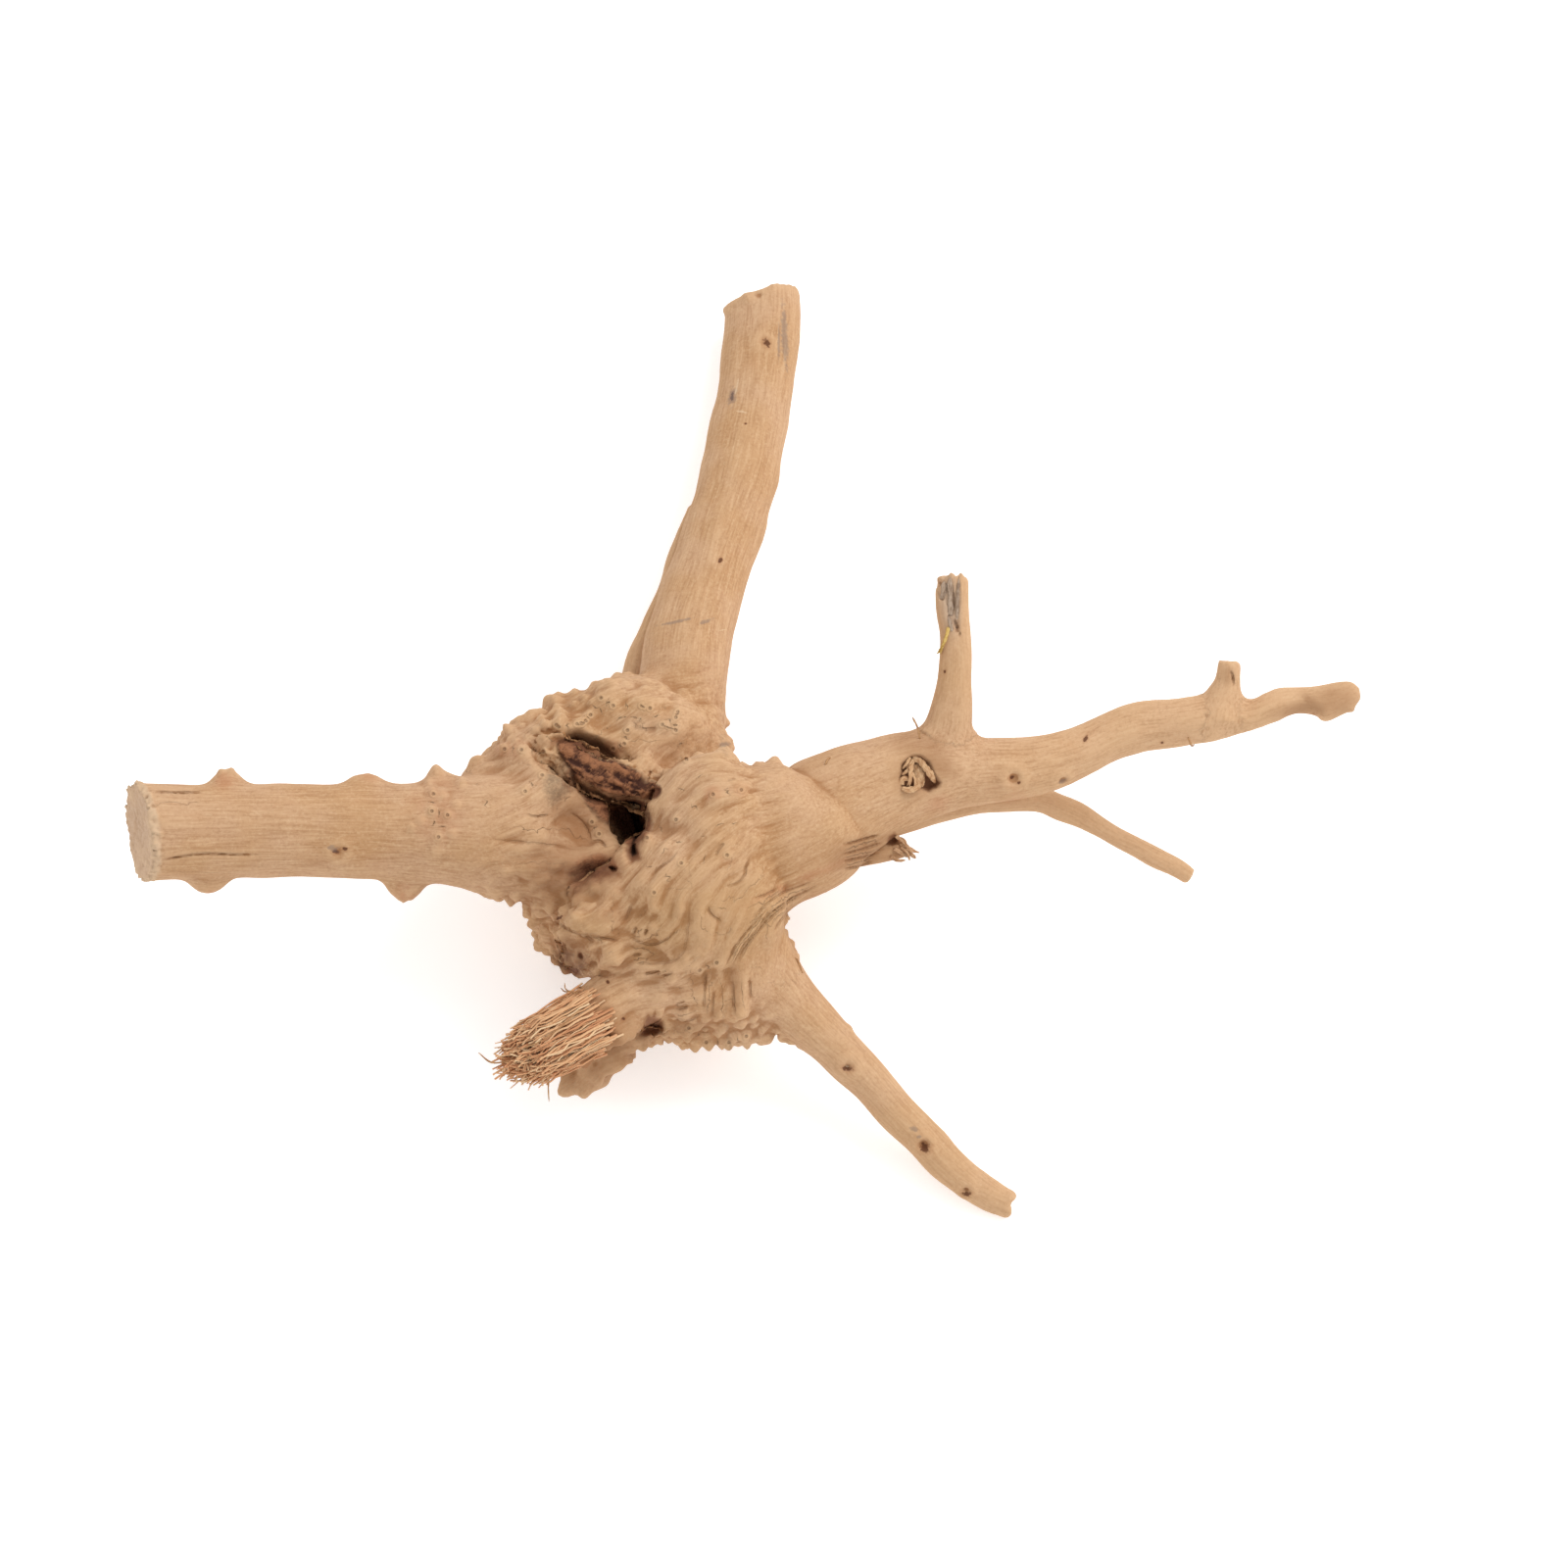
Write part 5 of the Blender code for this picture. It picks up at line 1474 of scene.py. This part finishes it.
def fibre_tree():
    """Nodes that grow a bundle of fibres along +Z, then stand it where the root is torn."""
    tree = bpy.data.node_groups.new("frayed_fibres", "GeometryNodeTree")
    sockets = tree.interface
    for name, kind in (
        ("Fibres", "Int"), ("Bundle radius", "Float"), ("Length", "Float"),
        ("Thickness", "Float"), ("Flare", "Float"), ("Curl", "Float"), ("Foot", "Vector"),
        ("Turn", "Vector"), ("Scale", "Float"), ("Seed", "Int"), ("Finish", "Material"),
    ):
        sockets.new_socket(name, in_out="INPUT", socket_type="NodeSocket" + kind)
    sockets.new_socket("Geometry", in_out="OUTPUT", socket_type="NodeSocketGeometry")
    start = Signal(tree)

    def given(name):
        """The value of a named input."""
        return start.node("NodeGroupInput", {}, {}, name)

    def vector(x, y, z):
        """Three values as one vector."""
        return start.node("ShaderNodeCombineXYZ", {}, {0: x, 1: y, 2: z})

    points = start.node("GeometryNodePoints", {}, {"Count": given("Fibres")})
    number = start.node("GeometryNodeInputIndex")
    points = start.node(
        "GeometryNodeStoreNamedAttribute", {"data_type": "FLOAT", "domain": "POINT"},
        {"Geometry": points, "Name": "fibre", "Value": number},
    )
    line = start.node("GeometryNodeCurvePrimitiveLine", {}, {"End": (0, 0, 1)})
    line = start.node("GeometryNodeResampleCurve", {}, {"Curve": line, "Count": FIBRE_POINTS})
    strands = start.node("GeometryNodeInstanceOnPoints", {}, {"Points": points, "Instance": line})
    strands = start.node("GeometryNodeRealizeInstances", {}, {"Geometry": strands})
    fibre = start.node("GeometryNodeInputNamedAttribute", {"data_type": "FLOAT"}, {"Name": "fibre"})
    part = start.node("GeometryNodeSplineParameter")

    def chance(low, high, offset):
        """A random value for each fibre; each offset has its own draw."""
        inputs = {2: low, 3: high, "ID": fibre, "Seed": given("Seed") + offset}
        return start.node("FunctionNodeRandomValue", {"data_type": "FLOAT"}, inputs, 1)

    share = ((fibre + 0.5) / given("Fibres"))**0.5
    angle = fibre * GOLDEN_ANGLE
    length = given("Length") * chance(0.72, 1.0, 1) * (1.12 - share * share * 0.34)
    back = share * share * share * FIBRE_ROOT * chance(0.0, 1.0, 2) * chance(0.3, 1.0, 7)
    along = part * (length + back) - back
    wide = given("Bundle radius") * share * chance(0.82, 1.12, 8) * (1.08 - part * 0.18)
    wide = wide + part * part * given("Flare") * (share - 0.25)
    cosine = angle.math("COSINE", angle, 0)
    sine = angle.math("SINE", angle, 0)
    loose = (part**1.2 * 0.8 + 0.2) * given("Curl") * (1.3 - share)
    sway = start.node("ShaderNodeTexNoise", {"noise_dimensions": "4D"}, {
        "Vector": vector(along * 0.24, share * cosine * 2.0, share * sine * 2.0), "W": fibre * 0.61,
        "Scale": 1.6, "Detail": 2.0,
    }, "Color")
    sway = start.vector_math("SUBTRACT", {0: sway, 1: (0.5, 0.5, 0.5)})
    sway = start.vector_math("SCALE", {0: sway, "Scale": loose})
    place = start.vector_math("ADD", {0: vector(cosine * wide, sine * wide, along), 1: sway})
    strands = start.node("GeometryNodeSetPosition", {}, {"Geometry": strands, "Position": place})
    thickness = given("Thickness") * chance(0.6, 1.25, 3) * (1 - part * 0.35)
    strands = start.node("GeometryNodeSetCurveRadius", {}, {"Curve": strands, "Radius": thickness})
    section = start.node(
        "GeometryNodeCurvePrimitiveCircle", {}, {"Resolution": FIBRE_SIDES, "Radius": 1.0},
    )
    skin = start.node(
        "GeometryNodeCurveToMesh", {},
        {"Curve": strands, "Profile Curve": section, "Scale": start.node("GeometryNodeInputRadius"),
         "Fill Caps": True},
    )
    skin = start.node(
        "GeometryNodeTransform", {},
        {"Geometry": skin, "Translation": given("Foot"), "Rotation": given("Turn"),
         "Scale": vector(given("Scale"), given("Scale"), given("Scale"))},
    )
    skin = start.node("GeometryNodeRealizeInstances", {}, {"Geometry": skin})
    skin = start.node("GeometryNodeSetMaterial", {}, {"Geometry": skin, "Material": given("Finish")})
    start.node("NodeGroupOutput", {}, {"Geometry": skin})
    return tree


def grow(name, tree, values):
    """Run a tree of Geometry Nodes with its named inputs set, and keep its result as plain mesh."""
    item = add_object(name, bpy.data.meshes.new(name))
    nodes = item.modifiers.new("Grow", "NODES")
    nodes.node_group = tree
    for socket in tree.interface.items_tree:
        if socket.in_out == "INPUT":
            nodes[socket.identifier] = values[socket.name]
    apply_modifiers(item)
    return item


def fibre_finish():
    """Torn wood fibre: straw yellow to orange brown, each fibre of one tone."""
    material, start, place = new_finish("torn_fibre")
    fibre = start.read("fibre")
    tone = start.node("ShaderNodeTexWhiteNoise", {"noise_dimensions": "1D"}, {"W": fibre}, 0)
    mottle = start.noise(place, 260.0, 3.0)
    colour = tone.rise(0.0, 0.6).mix(shade(224, 158, 112), shade(247, 196, 146))
    colour = tone.rise(0.6, 1.0).mix(colour, shade(255, 222, 178))
    colour = (mottle.rise(0.5, 0.8) * 0.4).mix(colour, shade(186, 124, 84))
    feed_shader(start, {
        "Base Color": colour, "Roughness": 0.7 + mottle * 0.2, "Specular IOR Level": 0.3,
    })
    return material


frayed_end = grow("frayed_end", fibre_tree(), {
    "Fibres": 850,
    "Bundle radius": 4.7,
    "Length": 13.6,
    "Thickness": 0.2,
    "Flare": 0.6,
    "Curl": 11.0,
    "Foot": fit(FIBRE_FOOT),
    "Turn": Vector(FIBRE_AIM).to_track_quat("Z", "Y").to_euler(),
    "Scale": MM * size,
    "Seed": 3,
    "Finish": fibre_finish(),
})
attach(frayed_end, "root")
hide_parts("driftwood")


# Splinters. In the knot hole the rotten core has torn into curled strips; the broken twig and
# the split stub carry torn flakes and a yellow shred, and a few loose hairs cling to the wood.
# Each is rooted in the skin under it, whatever side it is seen from.
STRIP_SIDES = 8
STRIP_STEP = 0.25
STRIP_THICKNESS = 0.24
STRIP_RAGGED = (0.82, 1.15)
# A foot beside the wood steps back until wood is under it, and a strip stays at its own depth
# where the skin under it drops or rises by more than the jump. All in millimetres.
FOOT_STEP = 0.3
FOOT_REACH_BACK = 8
DEPTH_JUMP = 2.5
RAY_REACH = 60


def strip_finish(name, dark, pale):
    """Torn wood: streaks along the strip, from a dark tone to a pale one."""
    material, start, place = new_finish(name)
    streak = start.noise(start.read("along", "Vector"), 4.0, 3.0, 0.6)
    mottle = start.noise(place, 900.0, 3.0, 0.6)
    colour = (streak * 0.8 + mottle * 0.4).rise(0.4, 0.85).mix(shade(*dark), shade(*pale))
    height = streak * 0.12 + mottle * 0.05
    feed_shader(start, {
        "Base Color": colour, "Roughness": 0.7 + mottle * 0.2, "Specular IOR Level": 0.2,
        "Normal": height.bump(),
    })
    return material


def seen_place(across, up, depth):
    """The place seen at (across, up) on the layout plane, at a depth towards the eye."""
    away = REACH / (REACH - depth)
    return AIM + np.array([across / away, 0, 0]) + UP * up / away + TOWARDS * depth


def skin_depth(across, up):
    """How near to the eye the wood lies where it is seen at (across, up), or None beside it."""
    near = Vector(fit(seen_place(across, up, RAY_REACH)))
    far = Vector(fit(seen_place(across, up, -RAY_REACH)))
    depths = []
    for item in (wood, frayed_end):
        hit, place, _, _ = item.ray_cast(near, (far - near).normalized())
        if hit:
            own = (np.array(place) - middle) / size + base
            depths.append(float(own @ TOWARDS / MM - AIM @ TOWARDS))
    return max(depths, default=None)


def strip_line(line):
    """The places of a strip, lifted off the skin; it reaches back until wood is under its foot."""
    foot = np.array(line[0][:2], dtype=float)
    start = foot
    back = start - line[1][:2]
    back *= FOOT_STEP / np.linalg.norm(back)
    depth = skin_depth(*start)
    while depth is None and np.linalg.norm(start - foot) < FOOT_REACH_BACK:
        start = start + back
        depth = skin_depth(*start)
    if depth is None:
        raise ValueError(f"a strip has its foot beside the wood at {line[0][:2]}")
    places = []
    for across, up, lift in [(*start, line[0][2]), *line[1:]]:
        under = skin_depth(across, up)
        if under is not None and abs(under - depth) < DEPTH_JUMP:
            depth = under
        places.append(tuple(seen_place(across, up, depth + lift)))
    return places


def strip_ring(skin, number, centre, ahead, half, turn):
    """One section of a strip: a flat ellipse, facing the eye and then turned by its twist."""
    layer = skin.verts.layers.float_vector["along"]
    flat_way = ahead.cross(Vector(TOWARDS)).normalized()
    raised = flat_way.cross(ahead)
    ring = []
    for j in range(STRIP_SIDES):
        angle = 2 * math.pi * j / STRIP_SIDES
        wide = half * math.cos(angle)
        thick = half * STRIP_THICKNESS * math.sin(angle)
        x = wide * math.cos(turn) - thick * math.sin(turn)
        y = wide * math.sin(turn) + thick * math.cos(turn)
        vert = skin.verts.new(fit(Vector(centre) + flat_way * x + raised * y))
        vert[layer] = (STRIP_STEP * number * 0.3, x * 2, y * 2)
        ring.append(vert)
    return ring


def lay_strips(name, finish, strips):
    """Flat strips of torn wood: (width, twist, line), whose last number lifts it off the skin."""
    skin = bmesh.new()
    skin.verts.layers.float_vector.new("along")
    draw = random.Random(11)
    for width, twist, line in strips:
        trace = through(strip_line(line), STRIP_STEP)
        rings = []
        for k, (centre, (ahead, _, _)) in enumerate(zip(trace, frames_along(trace))):
            part = k / (len(trace) - 1)
            taper = 0.35 + 0.65 * min(1, 6 * (1 - part))
            half = 0.5 * width * taper * draw.uniform(*STRIP_RAGGED)
            rings.append(strip_ring(skin, k, centre, ahead, half, math.radians(twist) * part))
        for here, after in zip(rings, rings[1:]):
            for j in range(STRIP_SIDES):
                m = (j + 1) % STRIP_SIDES
                skin.faces.new((here[j], here[m], after[m], after[j]))
        skin.faces.new(rings[0][::-1])
        skin.faces.new(rings[-1])
    bmesh.ops.recalc_face_normals(skin, faces=skin.faces)
    mesh = bpy.data.meshes.new(name)
    skin.to_mesh(mesh)
    skin.free()
    mesh.shade_smooth()
    item = add_object(name, mesh)
    mesh.materials.append(finish)
    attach(item, "root")
    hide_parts("driftwood")


lay_strips("knot_splinters", strip_finish("torn_core", (184, 130, 86), (246, 206, 160)), [
    (1.05, 20, [(19.8, 3.9, 0.6), (20.9, 3.6, 1.5), (21.8, 2.6, 2.4), (22.7, 1.4, 2.4),
        (23.4, 0.2, 1.1)]),
    (1.7, -15, [(20.4, 3.2, 0.8), (20.8, 1.4, 1.9), (21.2, -0.5, 0.8)]),
    (0.8, 40, [(19.8, 3.8, 0.7), (19.6, 1.8, 2.6), (19.4, -0.3, 1.5)]),
    (0.6, -30, [(19.7, 3, 1.4), (19.1, 2.1, 2.2), (18.2, 1.4, 0.7)]),
    (0.5, 30, [(19.5, 4.1, 0.5), (19, 3.2, 1.4), (18.3, 2.3, 0.7)]),
    (0.4, 0, [(20, 3.9, 0.8), (19.5, 3.2, 1.8), (18.9, 2.4, 1.6)]),
    (0.9, 70, [(18.2, -0.2, 0.4), (18.2, 0.6, 1.2), (18.9, 0.9, 2.3), (19.4, 0.4, 2.4),
        (19, -0.3, 1)]),
    (1, -50, [(20.4, 1, 2.1), (20.7, -0.3, 1.7), (20.1, -0.8, 1.2), (19.3, -1.1, 0.7),
        (18.5, -1, 0.3)]),
    (0.5, 60, [(19.8, 1.8, 2.5), (20.3, 0.5, 2.7), (20.1, -0.6, 1.1)]),
    (0.8, 20, [(18.2, -0.7, 0.3), (19.2, -0.8, 0.7), (20.3, -0.5, 1)]),
])
lay_strips("twig_flakes", strip_finish("torn_twig", (176, 122, 82), (240, 200, 158)), [
    (0.6, 40, [(17.3, -8, 0.4), (18.2, -8.8, 0.9), (19.1, -9.7, 1.2), (20, -10.3, 1),
        (20.9, -10.6, 0.4)]),
    (0.7, -30, [(17.9, -9.1, 0.4), (18.8, -10.1, 0.9), (19.7, -10.9, 0.8), (20.3, -11.5, 0.2)]),
    (0.8, 30, [(17, -10, 0.3), (18.2, -10.6, 0.6), (19.2, -11.2, 0.4)]),
    (0.6, -60, [(16.4, -11.2, 0.2), (17.6, -11.8, 0.4), (18.8, -11.8, 0.1)]),
    (0.5, 90, [(18.5, -10, 0.6), (19.4, -10.3, 1.2), (20.1, -10.9, 1)]),
    (0.4, 0, [(18, -9.7, 0.5), (19.1, -10.7, 1), (19.4, -11.8, 0.4)]),
])
lay_strips("stub_flakes", strip_finish("grey_flake", (150, 122, 100), (218, 194, 170)), [
    (0.9, 5, [(24.5, 28.5, 0), (24.7, 30, 0.25), (24.7, 31.3, 0.1)]),
    (0.8, -5, [(25.7, 26, 0), (25.7, 28.5, 0.25), (25.6, 30.6, 0.3), (25.7, 31.9, 0)]),
    (0.5, 5, [(26.8, 24.2, 0), (26.8, 26.9, 0.3), (26.9, 29.7, 0.35), (27.1, 32.1, 0)]),
    (0.6, 10, [(25.9, 23.6, 0), (25.7, 24.8, 0.3), (25.4, 25.9, 0.2)]),
])
lay_strips("yellow_shred", strip_finish("yellow_shred", (206, 158, 70), (250, 220, 140)), [
    (0.55, 35, [(25.4, 24.2, 0.1), (25.2, 23.2, 0.8), (24.7, 21.8, 1.2), (24.1, 20.6, 1),
        (23.6, 20.1, 0.8)]),
    (0.3, 0, [(25.1, 22.4, 0.3), (24.5, 21.2, 0.9), (24.1, 20, 0.7)]),
])
lay_strips("loose_hairs", strip_finish("loose_hair", (160, 108, 68), (226, 180, 130)), [
    (0.28, 0, [(-38, -42, 0.2), (-42.5, -42.8, 0.8), (-45.2, -43, 0.6), (-47.2, -41.5, 1)]),
    (0.22, 0, [(-36, -43, 0.2), (-36.4, -46.6, 0.8), (-36.3, -49.1, 1)]),
    (0.22, 0, [(-31.6, -31.4, 0.1), (-33.6, -32.1, 0.8), (-34.5, -31.5, 1.4)]),
    (0.2, 0, [(-31.6, -32.4, 0.1), (-33.6, -31.8, 0.8), (-33.9, -30.7, 1.2)]),
    (0.22, 0, [(-31.5, -34.8, 0.2), (-34.5, -37.5, 1), (-37.5, -39.7, 1.2), (-40.6, -40.9, 0.8)]),
    (0.22, 0, [(-31.8, -34.2, 0.2), (-35.4, -37.2, 1.2), (-38.8, -38.8, 1.4), (-42.4, -40, 0.8)]),
    (0.35, 20, [(7.2, 4, 0.1), (6.8, 3.9, 0.5), (6.4, 3, 0.2)]),
    (0.3, 0, [(21, 7, 0.1), (20.6, 8.8, 0.5), (19.8, 10.4, 0.6)]),
    (0.3, 0, [(62.4, 7.2, 0.1), (63, 5.9, 0.5), (63.4, 6.1, 0.6)]),
    (0.3, 0, [(2.8, -29.2, 0.1), (2.1, -27.3, 0.5), (1.7, -26.8, 0.5)]),
])


# The table that the wood lies on, a plain pale board under soft light from all round.
# It glows faintly: painted light that washes out the shadows on it and lights the wood from below.
TABLE_REACH = 3.0
TABLE_GLOW = 0.38


def table_finish():
    """Smooth matt white board, glowing faintly: painted light that washes out its shadows."""
    material, start, place = new_finish("white_board")
    mottle = start.noise(place, 8.0, 2.0)
    colour = mottle.mix((0.90, 0.90, 0.90, 1), (0.88, 0.88, 0.88, 1))
    feed_shader(start, {
        "Base Color": colour, "Roughness": 0.9, "Specular IOR Level": 0.0,
        "Emission Color": (1, 1, 1, 1), "Emission Strength": TABLE_GLOW,
    })
    return material


board = bmesh.new()
bmesh.ops.create_grid(board, x_segments=8, y_segments=8, size=TABLE_REACH)
top = bpy.data.meshes.new("table")
board.to_mesh(top)
board.free()
table = add_object("table", top)
table.data.materials.append(table_finish())

WORLD_GLOW = 0.92
world = bpy.data.worlds.new("studio")
world.use_nodes = True
sky = world.node_tree.nodes["Background"]
sky.inputs["Color"].default_value = (1, 1, 1, 1)
sky.inputs["Strength"].default_value = WORLD_GLOW
bpy.context.scene.world = world

LAMP_PLACE = (0.62, 0.38, 0.90)
LAMP_SIZE = 0.8
LAMP_WATTS = 6.7
key = bpy.data.lights.new("overhead", "AREA")
key.shape = "DISK"
key.size = LAMP_SIZE
key.energy = LAMP_WATTS
lamp = bpy.data.objects.new("overhead", key)
lamp.location = LAMP_PLACE
lamp.rotation_euler = Vector(LAMP_PLACE).to_track_quat("Z", "Y").to_euler()
bpy.context.scene.collection.objects.link(lamp)

# The camera looks down on the wood from the front, at the angle the layout plane faces.
IMAGE_PIXELS = 1600
PIXELS_PER_MM = 6.605
camera = bpy.data.cameras.new("camera")
camera.sensor_width = 36.0
camera.lens = camera.sensor_width * REACH / (IMAGE_PIXELS / PIXELS_PER_MM)
camera.clip_end = 10
viewer = bpy.data.objects.new("camera", camera)
viewer.location = fit(AIM + TOWARDS * REACH)
viewer.rotation_euler = (math.pi / 2 - FACE_TILT, 0, 0)
bpy.context.scene.collection.objects.link(viewer)
bpy.context.scene.camera = viewer
bpy.context.scene.view_settings.view_transform = "Standard"
